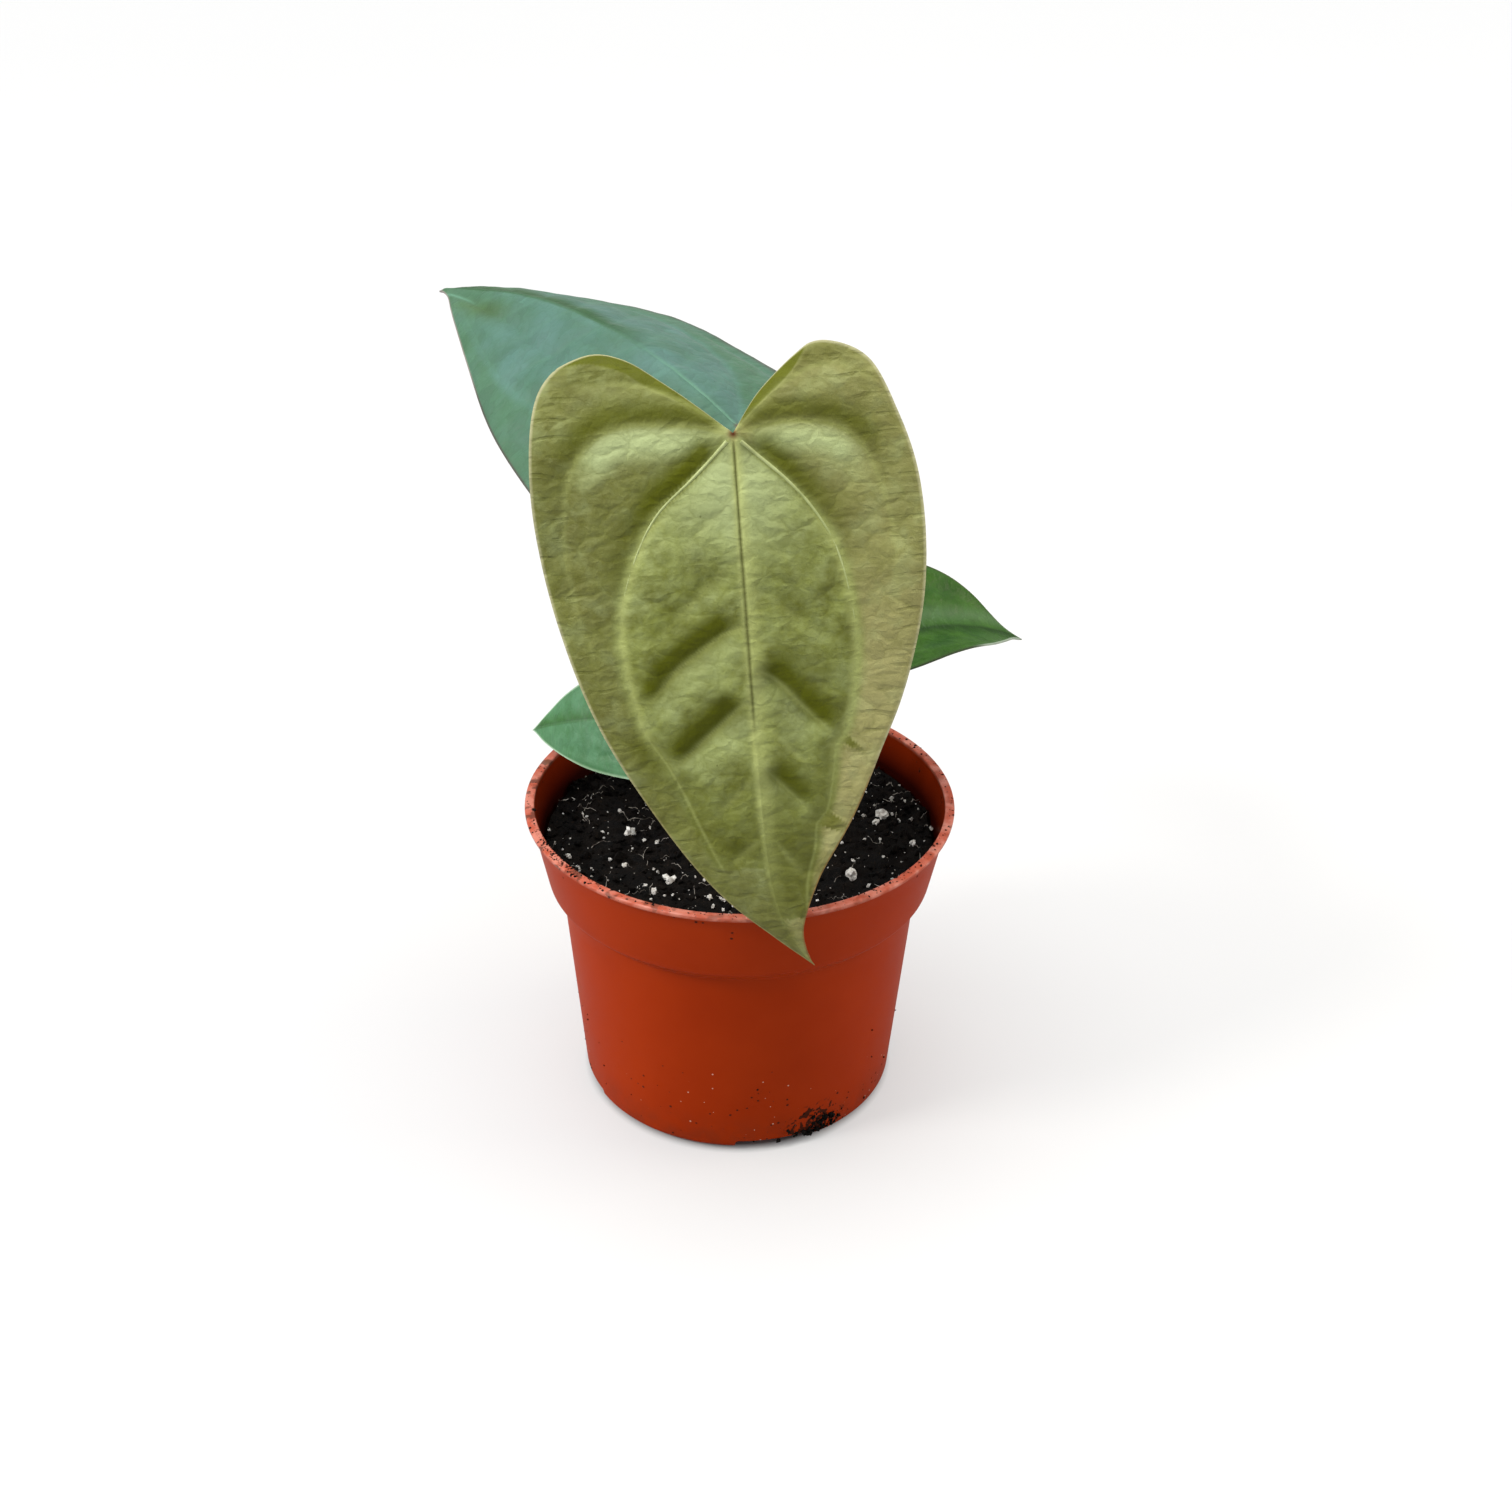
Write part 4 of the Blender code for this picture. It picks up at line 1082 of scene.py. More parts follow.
def make_soil(material):
    wall = inner_wall(SOIL_GAP)[1:]
    (low_radius, low), (top_radius, top) = wall[0], inner_wall(SOIL_GAP)[0]
    edge_height = SOIL_TOP - 0.0022
    edge_radius = low_radius + (top_radius - low_radius) * (edge_height - low) / (top - low)
    profile = [wall[-1]] + wall[-2::-1] + [(edge_radius, edge_height)]
    inner_ring = edge_radius / SOIL_RINGS
    rings = [(edge_radius * (1 - step / SOIL_RINGS) + inner_ring * 0.02, SOIL_TOP)
             for step in range(1, SOIL_RINGS + 1)]
    soil = turned(profile + rings, SOIL_SIDES)
    points = points_of(soil)
    top_points = points[:, 2] > SOIL_TOP - 0.0001
    x, y = points[top_points, 0], points[top_points, 1]
    rough = np.array([soil_roughness(a, b) for a, b in zip(x, y)])
    points[top_points, 2] = soil_height(x, y) + rough
    set_points(soil, points)
    put_on(soil, "peat", material, "peat_soil", ["potting_soil"], smooth=60.0)


def on_soil(rng, count, low=0.0075, high=SOIL_REACH):
    """Places spread evenly over the soil, clear of the crown."""
    radius = np.sqrt(low ** 2 + (high ** 2 - low ** 2) * rng.random(count))
    turn = math.tau * rng.random(count)
    x, y = radius * np.cos(turn), radius * np.sin(turn)
    lift = np.array([soil_roughness(a, b) for a, b in zip(x, y)])
    return np.stack([x, y, soil_height(x, y) + lift], axis=1)


def make_crumbs(material):
    """Peat crumbs and bark bits, from dust to small clods."""
    rng = np.random.default_rng(31)
    places = on_soil(rng, CRUMB_COUNT)
    size = 0.00028 + 0.0011 * rng.random(CRUMB_COUNT) ** 3.2
    shapes = size[:, None] * (0.55 + 0.9 * rng.random((CRUMB_COUNT, 3)))
    places[:, 2] += size * 0.2
    turns = [any_turn(rng) for _ in range(CRUMB_COUNT)]
    crumbs = scattered("crumbs", crumb_shape(), places, turns, shapes, rng, roughness=0.7)
    put_on(crumbs, "soil_crumbs", material, "peat_soil", smooth=25.0)


def make_stuck_soil(material):
    """Soil that stuck to the pot: along the lip, on the wall, and the clump beside the front notch."""
    rng = np.random.default_rng(8)
    places, sizes = [], []

    def on_wall(turn, height, lift):
        share = (height - FOOT_CORNER) / (BODY_TOP - FOOT_CORNER)
        radius = FOOT_RADIUS + BODY_TAPER * share + lift
        return radius * math.cos(turn), radius * math.sin(turn), height

    for _ in range(CLUMP_BITS):
        turn = math.radians(CLUMP_TURN + 5.2 * rng.normal())
        height = 0.0026 + abs(0.0028 * rng.normal()) * (1.0 if turn > math.radians(-62) else 0.4)
        size = 0.00020 + 0.00075 * rng.random() ** 2.2
        places.append(on_wall(turn, max(height, size + 0.0004), size * 0.3))
        sizes.append(size)
    for _ in range(WALL_BITS):
        height = 0.003 + 0.028 * rng.random() ** 1.6
        size = 0.00012 + 0.00028 * rng.random() ** 2
        places.append(on_wall(math.tau * rng.random(), height, size * 0.2))
        sizes.append(size)
    for centre, spread, count in LIP_STRETCHES:
        for _ in range(count):
            turn = math.radians(centre + spread * rng.normal())
            radius = RIM_RADIUS - LIP_WIDTH * (0.12 + 0.8 * rng.random())
            size = 0.00012 + 0.00042 * rng.random() ** 2
            places.append((radius * math.cos(turn), radius * math.sin(turn), POT_HEIGHT - size * 0.55))
            sizes.append(size)
    shapes = np.array(sizes)[:, None] * (0.6 + 0.8 * rng.random((len(sizes), 3)))
    turns = [any_turn(rng) for _ in sizes]
    stuck = scattered("stuck", crumb_shape(), places, turns, shapes, rng, roughness=0.7)
    put_on(stuck, "soil_on_pot", material, "peat_soil", smooth=25.0)


def make_perlite(material):
    """Each large grain stands where its solid is; small ones lie between."""
    rng = np.random.default_rng(12)
    nodes = sorted(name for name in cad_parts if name.startswith("perlite_"))
    places, shapes = [], []
    for node in nodes:
        low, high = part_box(node)
        places.append(tuple((low + high) / 2))
        shapes.append(tuple((high - low) * 0.42))
    for place in on_soil(rng, GRAIN_COUNT):
        size = 0.00013 + 0.00070 * rng.random() ** 3.4
        places.append((place[0], place[1], place[2] + size * 0.35))
        shapes.append(tuple(size * (0.6 + 0.7 * rng.random(3))))
    turns = [Matrix.Identity(3).to_quaternion() if index < len(nodes) else any_turn(rng)
             for index in range(len(places))]
    grains = scattered("grains", crumb_shape(2), places, turns, shapes, rng, roughness=1.1)
    put_on(grains, "perlite_grains", material, "perlite", nodes, smooth=20.0)


def make_fibres(material):
    """Curly pale threads lying on the peat."""
    rng = np.random.default_rng(44)
    paths = []
    for place in on_soil(rng, FIBRE_COUNT, low=0.012, high=0.053):
        turn = math.tau * rng.random()
        curl = (rng.random() - 0.5) * 0.35
        step = 0.00025 + 0.00070 * rng.random() ** 1.5
        thick = 0.00005 + 0.00010 * rng.random()
        x, y = place[0], place[1]
        path = []
        for index in range(FIBRE_STEPS + 1):
            if math.hypot(x, y) > SOIL_REACH:
                break
            lift = 0.0003 + 0.0009 * math.sin(math.pi * index / FIBRE_STEPS) * rng.random()
            z = float(soil_height(x, y)) + soil_roughness(x, y) + lift
            path.append(((x, y, z), thick * (1 - 0.08 * index)))
            turn += curl + 0.35 * (rng.random() - 0.5)
            x, y = x + step * math.cos(turn), y + step * math.sin(turn)
        if len(path) > 3:
            paths.append(path)
    fibres = tube_from("fibres", paths, 0.0001, 1)
    put_on(fibres, "pale_fibres", material, "peat_soil", smooth=60.0)


# ---- Crown and sheaths ---------------------------------------------------------------------------
def make_crown(material):
    """The short stem: leaf scars run round it as low rings, and its top is a dome between the stalks."""
    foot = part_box("crown")[0].z
    profile = [(CROWN_RADIUS * 0.5, foot), (CROWN_RADIUS * 0.85, foot + 0.003)]
    for ring in range(CROWN_RINGS):
        height = foot + 0.006 + (CROWN_TOP - foot - 0.0095) * ring / (CROWN_RINGS - 1)
        profile += [(CROWN_RADIUS * 0.90, height - 0.0010), (CROWN_RADIUS * 0.995, height)]
    profile += [(CROWN_RADIUS * 0.86, CROWN_TOP - 0.0016), (CROWN_RADIUS * 0.55, CROWN_TOP - 0.0003),
                (CROWN_RADIUS * 0.12, CROWN_TOP)]
    crown = turned(eased(profile, 0.0009), 56, height_steps=0.0012)
    points = points_of(crown)
    for point in points:
        lump = noise.noise(Vector(point) * 420.0) * 0.00028 + noise.noise(Vector(point) * 1300.0) * 0.00010
        point[:2] *= 1.0 + (lump - 0.00025) / CROWN_RADIUS
    set_points(crown, points)
    put_on(crown, "crown_stem", material, "stem_skin", ["crown"], smooth=50.0)


def dress_roots(material):
    """The roots keep their shape and get their own finish."""
    for name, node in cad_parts.items():
        if name.startswith("root_"):
            for slot in range(len(node.data.materials)):
                node.data.materials[slot] = material


def make_sheath(index, material):
    """A papery sheath wrapped round the crown's side, its edges frayed and its point curled."""
    rows, columns = 34, 14
    rng = random.Random(60 + index)
    turn = math.radians(SHEATH_TURNS[index])
    low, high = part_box(f"leaf_sheath_{index + 1}")
    inner = CROWN_RADIUS + SHEATH_GAP + SHEATH_THICKNESS
    height = high.z - low.z - 0.0004
    points, faces = [], []
    for row in range(rows + 1):
        share = row / rows
        fray = 0.12 * noise.noise(Vector((share * 9, index * 7.0, 0.0)))
        half_width = SHEATH_WIDTH / 2 * (1 - share ** 2.2) * (1 + fray) + 0.00025
        for column in range(columns + 1):
            side = 2 * column / columns - 1
            angle = turn + side * half_width / inner + 0.10 * share ** 2 * math.sin(index * 2.0)
            curl = 0.0007 * abs(side) ** 3 * (0.3 + share)
            crinkle = 0.00018 * noise.noise(Vector((side * 5, share * 7, index * 3.0)))
            radius = inner + SHEATH_LEAN * share ** 2 + curl + crinkle
            z = low.z + 0.0002 + height * share * (1 - 0.05 * abs(side) * rng.random())
            points.append((radius * math.cos(angle), radius * math.sin(angle), z))
    for row in range(rows):
        for column in range(columns):
            a = row * (columns + 1) + column
            faces.append((a, a + 1, a + columns + 2, a + columns + 1))
    sheath = mesh_object("sheath", points, faces)
    paper = sheath.modifiers.new("paper", "SOLIDIFY")
    paper.thickness = SHEATH_THICKNESS
    paper.offset = 0.0
    apply_modifiers(sheath)
    close_and_face_out(sheath, 1e-7)
    put_on(sheath, f"dry_sheath_{index + 1}", material, "dry_sheath", [f"leaf_sheath_{index + 1}"],
           smooth=50.0)


# ---- Leaves --------------------------------------------------------------------------------------
def blade_axes(leaf):
    """Directions at the hold: along the midrib, to the left across it, and out of the upper side."""
    heading, pitch, roll = (math.radians(angle) for angle in (leaf.heading, leaf.pitch, leaf.roll))
    ahead = Vector((math.cos(heading), math.sin(heading), 0.0))
    along = ahead * math.cos(pitch) - Vector((0.0, 0.0, math.sin(pitch)))
    across = Vector((-math.sin(heading), math.cos(heading), 0.0))
    turn = Matrix.Rotation(roll, 3, along)
    across = turn @ across
    return np.array(along), np.array(across), np.array(along.cross(across))


def hold_point(leaf):
    x, y, above_rim = leaf.hold
    return np.array((x, y, POT_HEIGHT + above_rim))


def blade_places(leaf, along_mid, across_mid):
    """Places in space of points of the flat blade: along the midrib and to the left of it."""
    along, across, out = blade_axes(leaf)
    share = np.clip(along_mid / leaf.length, 0.0, 1.0)
    bend = math.radians(leaf.arch)
    lobe_part = np.minimum(along_mid, 0.0)
    forward = np.sin(bend * share) / bend * leaf.length + lobe_part
    down = (1 - np.cos(bend * share)) / bend * leaf.length
    upper = out * np.cos(bend * share)[:, None] + along * np.sin(bend * share)[:, None]
    left = across_mid > 0
    droop = np.radians(np.where(left, leaf.left_droop, leaf.right_droop))
    fall = np.sin(droop) * (np.hypot(across_mid, leaf.crest) - leaf.crest)
    fall += leaf.lobe_curl * (lobe_part / (LOBE_REACH * leaf.lobe_share * leaf.length)) ** 2
    edge_share = across_mid / np.where(left, leaf.left_width, leaf.right_width)
    wave_turn = WAVE_COUNT * math.tau * along_mid / leaf.length + 2 * edge_share
    fall += leaf.wave * edge_share ** 2 * np.sin(wave_turn)
    sideways = np.cos(droop) * across_mid + leaf.tip_hook * share ** 10
    return (hold_point(leaf) + forward[:, None] * along - down[:, None] * out
            + sideways[:, None] * across - fall[:, None] * upper)


def upper_normals(leaf, along_mid, across_mid):
    """Directions square to the blade, out of its upper side; at the very tip, those just before it."""
    along_mid = np.minimum(along_mid, leaf.length - NORMAL_STEP)
    here = blade_places(leaf, along_mid, across_mid)
    ahead = blade_places(leaf, along_mid + NORMAL_STEP, across_mid) - here
    aside = blade_places(leaf, along_mid, across_mid + NORMAL_STEP) - here
    normals = np.cross(ahead, aside)
    return normals / np.linalg.norm(normals, axis=1)[:, None]


FRONT_VEINS = (
    # The two basal veins that bound the middle panels.
    Vein(((0.5, 0), (10, -10.8), (18.5, -20.5), (29, -26.8), (41, -31), (52, -31.7), (63, -30),
          (73, -27.5), (83, -22), (99, -15.5), (109, -11.5)), depth=2.6, above=11.0, below=8.0,
         line=0.55, start=9.0, end=24.0, cord=0.48, bounds=True),
    Vein(((0.5, 0), (12.5, 13.2), (23.2, 21.0), (34, 25.0), (51, 27.3), (64, 26.2), (75.5, 23.2),
          (79, 20.6), (87, 19.3), (95.8, 17), (99, 14.1), (106, 12.7), (115, 9), (123.5, 6.6)),
         depth=2.3, above=12.0, below=8.0, line=0.55, start=9.0, end=14.0, cord=0.48, bounds=True),
    # The outer basal veins, which sweep through the lobes and run down along the margins.
    Vein(((0.5, -0.5), (-2.2, -8), (-3.6, -18), (-4.0, -25), (-2.6, -32.2), (2, -38), (8.2, -41.3),
          (16, -43), (27.5, -43.8), (40, -42.0), (52, -39)), depth=2.0, above=9.0, below=11.0, line=0.22,
         end=30.0, light=1.6),
    Vein(((0.5, 0.5), (-1.4, 6), (-2.4, 14), (-1.6, 22.5), (1.2, 28.6), (6.5, 33), (16.2, 36.2),
          (28, 38), (44, 37.6)), depth=2.0, above=9.0, below=11.0, line=0.22, end=26.0, light=1.4),
    Vein(((0, -0.5), (-7, -9.0), (-12.0, -18.5), (-14.5, -27), (-14.0, -35.6), (-8, -42.5)),
         depth=1.3, above=4.5, below=7.0, line=0.22, end=14.0),
    Vein(((0, 0.5), (-7.0, 8.0), (-12.5, 14.5), (-15.4, 20.5), (-15.8, 27), (-11.5, 34.0)),
         depth=1.3, above=4.5, below=7.0, line=0.22, end=12.0),
    # Lateral veins of the middle panels.
    Vein(((14, -0.5), (22, -8), (31, -17)), depth=0.7, above=6.0, below=7.0, line=0.10),
    Vein(((30, -0.5), (37, -9.5), (46, -19.5), (52, -27)), depth=1.3, above=7.0, below=7.0, line=0.15),
    Vein(((46.5, -0.5), (49.5, -7.3), (57.0, -18.3), (62.5, -23.2), (68, -28.5)), depth=3.1, above=5.5,
         below=8.0, line=0.40),
    Vein(((65, -0.5), (70.8, -7.7), (76.8, -14.8), (83.5, -22.5)), depth=3.6, above=5.5, below=8.0,
         line=0.40),
    Vein(((84, -0.5), (90.5, -7), (97, -14.5)), depth=1.2, above=5.0, below=5.5, line=0.20),
    Vein(((101, -0.5), (104.6, -5.1), (109.5, -11.5)), depth=1.9, above=6.0, below=5.0, line=0.2),
    Vein(((19, 0.5), (28, 8.5), (37, 17.5)), depth=0.6, above=6.0, below=7.0, line=0.10),
    Vein(((36, 0.5), (43, 9.5), (50, 18), (54, 25)), depth=1.0, above=7.0, below=7.0, line=0.15),
    Vein(((57, 0.5), (61.4, 6.7), (68.5, 12.9), (77.5, 21.0)), depth=3.3, above=4.6, below=8.5, line=0.40),
    Vein(((69, 0.5), (77.5, 8.0), (86, 15.5)), depth=1.0, above=5.0, below=5.0, line=0.20),
    Vein(((82, 0.5), (88.3, 6.2), (97.5, 14.0)), depth=2.6, above=5.0, below=6.5, line=0.3),
    Vein(((98, 0.5), (106, 5.0), (113, 9.0)), depth=1.0, above=4.0, below=5.0, line=0.2),
)
# Beyond these lines the front blade's lobes turn down to the notch: (points, slope).
FRONT_FOLDS = (
    (((0.0, -0.5), (-0.9, -3.5), (-9.0, -14.3), (-12.8, -21), (-16.8, -27), (-19, -34), (-19, -42)),
     0.60),
    (((0.0, 0.5), (-6.3, 7.2), (-12.3, 14.1), (-16.4, 17.6), (-20.4, 19.8), (-27, 21)), 0.95),
)

# The back blade sinks along a line that runs from its tip, pale at first.
BACK_FOLD = Vein(((129.5, 1.5), (126.8, 3.5), (111.5, 6.6), (97.7, 10.7), (81.2, 14.7), (68.9, 17.7),
                  (49.7, 19.4), (37.8, 20.4)),
                 depth=2.0, above=9.0, below=3.5, line=0.0, start=26.0, end=30.0)


def plain_veins(leaf):
    """Veins of a blade by rule: basal veins that follow the margin, and slanting laterals."""
    length, veins = leaf.length / MM, []
    for side, width in ((1, leaf.left_width / MM), (-1, leaf.right_width / MM)):
        inner = [(0.004, 0.01), (0.08, 0.22), (0.17, 0.42), (0.28, 0.56), (0.42, 0.60), (0.56, 0.54),
                 (0.70, 0.40), (0.84, 0.20), (0.95, 0.05)]
        outer = [(0.004, 0.01), (-0.02, 0.28), (-0.01, 0.56), (0.06, 0.76), (0.18, 0.84), (0.34, 0.80),
                 (0.50, 0.69)]
        top = [(0.0, 0.01), (-0.065, 0.22), (-0.105, 0.45), (-0.10, 0.68), (-0.04, 0.84)]
        for line, depth in ((inner, 1.0), (outer, 0.9), (top, 0.7)):
            points = tuple((u * length, side * w * width) for u, w in line)
            veins.append(Vein(points, depth=leaf.puff * depth, above=5.0, below=4.5, line=0.14,
                              end=0.2 * length, bounds=line is inner))
        for index in range(7):
            u = 0.10 + 0.105 * index
            reach = np.interp(u + 0.12, [p[0] for p in inner], [p[1] for p in inner])
            points = ((u, 0.012), (u + 0.045, reach * 0.45), (u + 0.12, reach))
            veins.append(Vein(tuple((a * length, side * b * width) for a, b in points),
                              depth=leaf.puff * (0.55 + 0.5 * (index % 2)), above=4.0, below=5.0, line=0.12))
    return veins + [BACK_FOLD] * (leaf.name == "back")


def along_vein(vein, flat):
    """For each flat place: distance to the vein, which side it is on, how far along the vein it is,
    the vein's length, and how much the vein runs across the blade there, 0 to 1."""
    path = smooth_path(vein.points, 60)
    starts, spans = path[:-1], np.diff(path, axis=0)
    lengths = np.linalg.norm(spans, axis=1)
    before = np.concatenate([[0.0], np.cumsum(lengths)])[:-1]
    best = np.full(len(flat), 1e9)
    side = np.zeros(len(flat))
    along, level = np.zeros(len(flat)), np.zeros(len(flat))
    for start, span, length, gone in zip(starts, spans, lengths, before):
        from_start = flat - start
        share = np.clip(from_start @ span / length ** 2, 0.0, 1.0)
        off = from_start - share[:, None] * span
        distance = np.hypot(off[:, 0], off[:, 1])
        nearer = distance < best
        best[nearer] = distance[nearer]
        side[nearer] = np.sign(span[0] * off[:, 1] - span[1] * off[:, 0])[nearer]
        along[nearer] = (gone + share * length)[nearer]
        level[nearer] = abs(span[1]) / length
    outward = 1.0 if vein.points[-1][1] > 0 else -1.0
    return best, side * outward, along, before[-1] + lengths[-1], level


def blade_relief(flat, veins):
    """Height of the quilting over the smooth blade, in millimetres, and the masks that colour it: painted
    shade on each vein's lobe side, painted light on its tip side, pale lines and the outer band.
    """
    sunk, valley_shade, lit, pale = (np.zeros(len(flat)) for _ in range(4))
    outer = np.zeros(len(flat))
    for vein in veins:
        distance, side, along, length, level = along_vein(vein, flat)
        fade = soft_step(along, 0.0, vein.start) * (1 - soft_step(along, length - vein.end, length))
        width = np.where(side > 0, vein.above, vein.below)
        soft = 0.6
        run = np.sqrt(distance ** 2 + soft ** 2) - soft
        slope = 0.72 * np.exp(-run / width) + 0.28 * np.exp(-run / (0.3 * width))
        sunk += (vein.depth * slope * fade) ** 3
        strength = fade * soft_step(vein.depth, 0.4, 3.0) * soft_step(level, 0.15, 0.8)
        # Painted shade in a band on the vein's lobe side, where the blade faces down, and painted light on
        # the crest of its tip side, where it faces up; both only where the vein runs across the blade.
        above = np.where(side > 0, np.exp(-((distance - 2.6) / 3.8) ** 2), np.exp(-(distance / 0.9) ** 2))
        below = np.where(side < 0, np.exp(-((distance - 4.5) / 4.0) ** 2), 0.0)
        valley_shade = np.maximum(valley_shade, above * strength)
        lit = np.maximum(lit, below * strength * vein.light)
        line = np.exp(-(distance / (0.45 if vein.bounds else 0.8)) ** 2) * vein.line
        near_start = 1 - soft_step(along, 0.5 * length, 1.02 * length)
        pale = np.maximum(pale, line * (0.35 + 0.65 * near_start))
        if vein.bounds:
            wide = vein.line * 0.9 * np.exp(-(distance / 1.5) ** 2) * soft_step(along, 16.0, 38.0)
            pale = np.maximum(pale, wide * (1 - soft_step(along, 0.55 * length, 0.9 * length)))
            path = smooth_path(vein.points, 80)
            reach = np.interp(flat[:, 0], path[:, 0], np.abs(path[:, 1]), right=-1.0)
            beyond = soft_step(np.abs(flat[:, 1]) - reach, 0.0, 3.0)
            outer = np.where(flat[:, 1] * path[-1, 1] > 0, beyond, outer)
    return -sunk ** (1 / 3), valley_shade, lit, pale, outer


def blade_surface(leaf):
    """Unique flat points of the blade, its faces, and each point's distance from the margin."""
    rows, columns = leaf.rows, leaf.columns
    flat, margin, faces = [], [], []
    spine = leaf.length * (np.arange(rows + 1) / rows) ** 1.3
    middle = []
    for row in range(rows + 1):
        middle.append(len(flat))
        flat.append((spine[row], 0.0))
        margin.append(0.0 if row in (0, rows) else 1.0)
    for side, half, width in ((1, leaf.left_half, leaf.left_width), (-1, leaf.right_half, leaf.right_width)):
        outline = [(u * leaf.length * (leaf.lobe_share if u < 0 else 1.0), w * width) for u, w in half]
        edge = smooth_path(outline, rows + 1)
        lines = [[middle[0]] * (columns + 1)]
        for row in range(1, rows):
            line = [middle[row]]
            reach = np.array([edge[row][0] - spine[row], edge[row][1]])
            for column in range(1, columns + 1):
                share = 1 - (1 - column / columns) ** 1.15
                line.append(len(flat))
                flat.append((spine[row] + reach[0] * share, side * reach[1] * share))
                margin.append((1 - share) * np.linalg.norm(reach))
            margin[middle[row]] = max(margin[middle[row]] if side < 0 else 0.0, np.linalg.norm(reach))
            lines.append(line)
        lines.append([middle[rows]] * (columns + 1))
        for line, following in zip(lines, lines[1:]):
            for column in range(columns):
                face = [line[column], following[column], following[column + 1], line[column + 1]]
                face = list(dict.fromkeys(face))
                faces.append(face if side > 0 else face[::-1])
    return np.array(flat), np.array(margin), faces


def store(mesh, name, values):
    layer = mesh.attributes.new(name, "FLOAT", "POINT")
    layer.data.foreach_set("value", np.asarray(values, np.float32))


def folded(flat_mm):
    """How far the front blade's folded strips lie below it, and where they are."""
    drop, fold = np.zeros(len(flat_mm)), np.zeros(len(flat_mm))
    for points, slope in FRONT_FOLDS:
        distance, side, *_ = along_vein(Vein(points, depth=0.0), flat_mm)
        here = (side > 0) & (flat_mm[:, 1] * points[-1][1] > 0) & (flat_mm[:, 0] < 1.0)
        run = np.where(here, np.sqrt(distance ** 2 + 0.16) - 0.4, 0.0)
        drop += slope * run
        fold = np.maximum(fold, soft_step(np.where(here, distance, 0.0), 0.15, 0.9) * min(1.0, slope + 0.25))
    return drop, fold * soft_step(np.hypot(*flat_mm.T), 1.0, 6.0)


def fine_relief(leaf, flat_mm):
    """Dents between the finest veins, in millimetres."""
    dents = [noise.noise(Vector((u / 5.0, w / 6.5, leaf.seed))) for u, w in flat_mm]
    cells = [noise.voronoi(Vector((u / 3.3, w / 4.8, leaf.seed)))[0][0] for u, w in flat_mm]
    return 0.20 * np.array(dents) - 0.10 * np.minimum(cells, 0.8)


def midrib_marks(leaf, flat_mm):
    """The midrib's groove, the painted shade along it, the pale bands beside it and the rib under it."""
    along, across = flat_mm[:, 0] / (leaf.length / MM), flat_mm[:, 1] / (leaf.length / FRONT_LENGTH)
    sunk_part = 1 - soft_step(along, 0.46, 0.58)
    groove = np.exp(-(across / 0.40) ** 2) * soft_step(along, 0.004, 0.03)
    swell = np.where(across > 0, 3.4, 1.3) * (0.35 + 0.65 * np.sin(np.pi * np.clip(along, 0, 1)) ** 0.5)
    band = np.exp(-(np.abs(across) / swell) ** 2.5) * (1 - soft_step(along, 0.55, 1.0))
    line = 0.7 * groove * (1 - sunk_part) * (1 - soft_step(along, 0.62, 0.92))
    top = 0.45 * np.exp(-(along / 0.16) ** 2) * np.exp(-(across / 1.5) ** 2)
    rib = np.exp(-(across / 1.3) ** 2) * (1 - soft_step(along, 0.75, 0.98))
    height = -0.40 * groove * sunk_part + 0.18 * groove * (1 - sunk_part)
    pale = np.maximum(np.where(across > 0, 0.50, 0.62) * band + top, line)
    # Painted shade in the sunk part of the groove.
    crease_shade = 0.8 * groove * sunk_part
    if leaf.name != "front":
        near_hold = 1 - soft_step(along, 0.10, 0.35)
        pale = groove * (0.15 + 0.70 * near_hold) + 0.08 * band
        if leaf.name == "back":
            fold_away = along_vein(BACK_FOLD, flat_mm)[0]
            pale = np.maximum(pale, 0.65 * np.exp(-(fold_away / 0.6) ** 2) * soft_step(along, 0.78, 0.90))
        # Painted shade in a line beside the midrib.
        crease_shade = 0.5 * np.exp(-((across + 0.9) / 0.7) ** 2) * soft_step(along, 0.25, 0.5)
    return height, pale, crease_shade, rib


def midrib_shade(leaf, flat_mm):
    """The darker slope beside the midrib of the younger blades' outer parts."""
    along, across = flat_mm[:, 0] / (leaf.length / MM), flat_mm[:, 1] / (leaf.length / FRONT_LENGTH)
    slope = np.where(across < 0, np.exp(-(across / 7.0) ** 2), np.exp(-(across / 1.0) ** 2))
    return 0.95 * slope * soft_step(along, 0.25, 0.50) * (1 - soft_step(along, 0.88, 1.0))


def patch_tint_and_gloss_strip(leaf, flat_mm, outer):
    """Paler parts: the front blade's left band and patches near other tips; on the right blade, a stripe of
    painted gloss beside the midrib.
    """
    along, across = flat_mm[:, 0] / (leaf.length / MM), flat_mm[:, 1]
    if leaf.name == "front":
        down = 0.25 + 0.65 * soft_step(along, 0.15, 0.50) * (1 - soft_step(along, 0.80, 0.97))
        return np.where(across > 0, down * outer, 0.0)
    if leaf.name == "right":
        # A painted gloss: a pale stripe beside the midrib.
        return 0.75 * np.exp(-((across - 4.5) / 2.6) ** 2) * soft_step(along, 0.30, 0.50)
    return 0.85 * np.exp(-((along - 0.78) / 0.11) ** 2) * np.exp(-((across - 10.0) / 4.0) ** 2)


def blade_point_on(leaf, flat, height):
    places = blade_places(leaf, flat[:, 0], flat[:, 1])
    return places + upper_normals(leaf, flat[:, 0], flat[:, 1]) * (height * MM)[:, None]


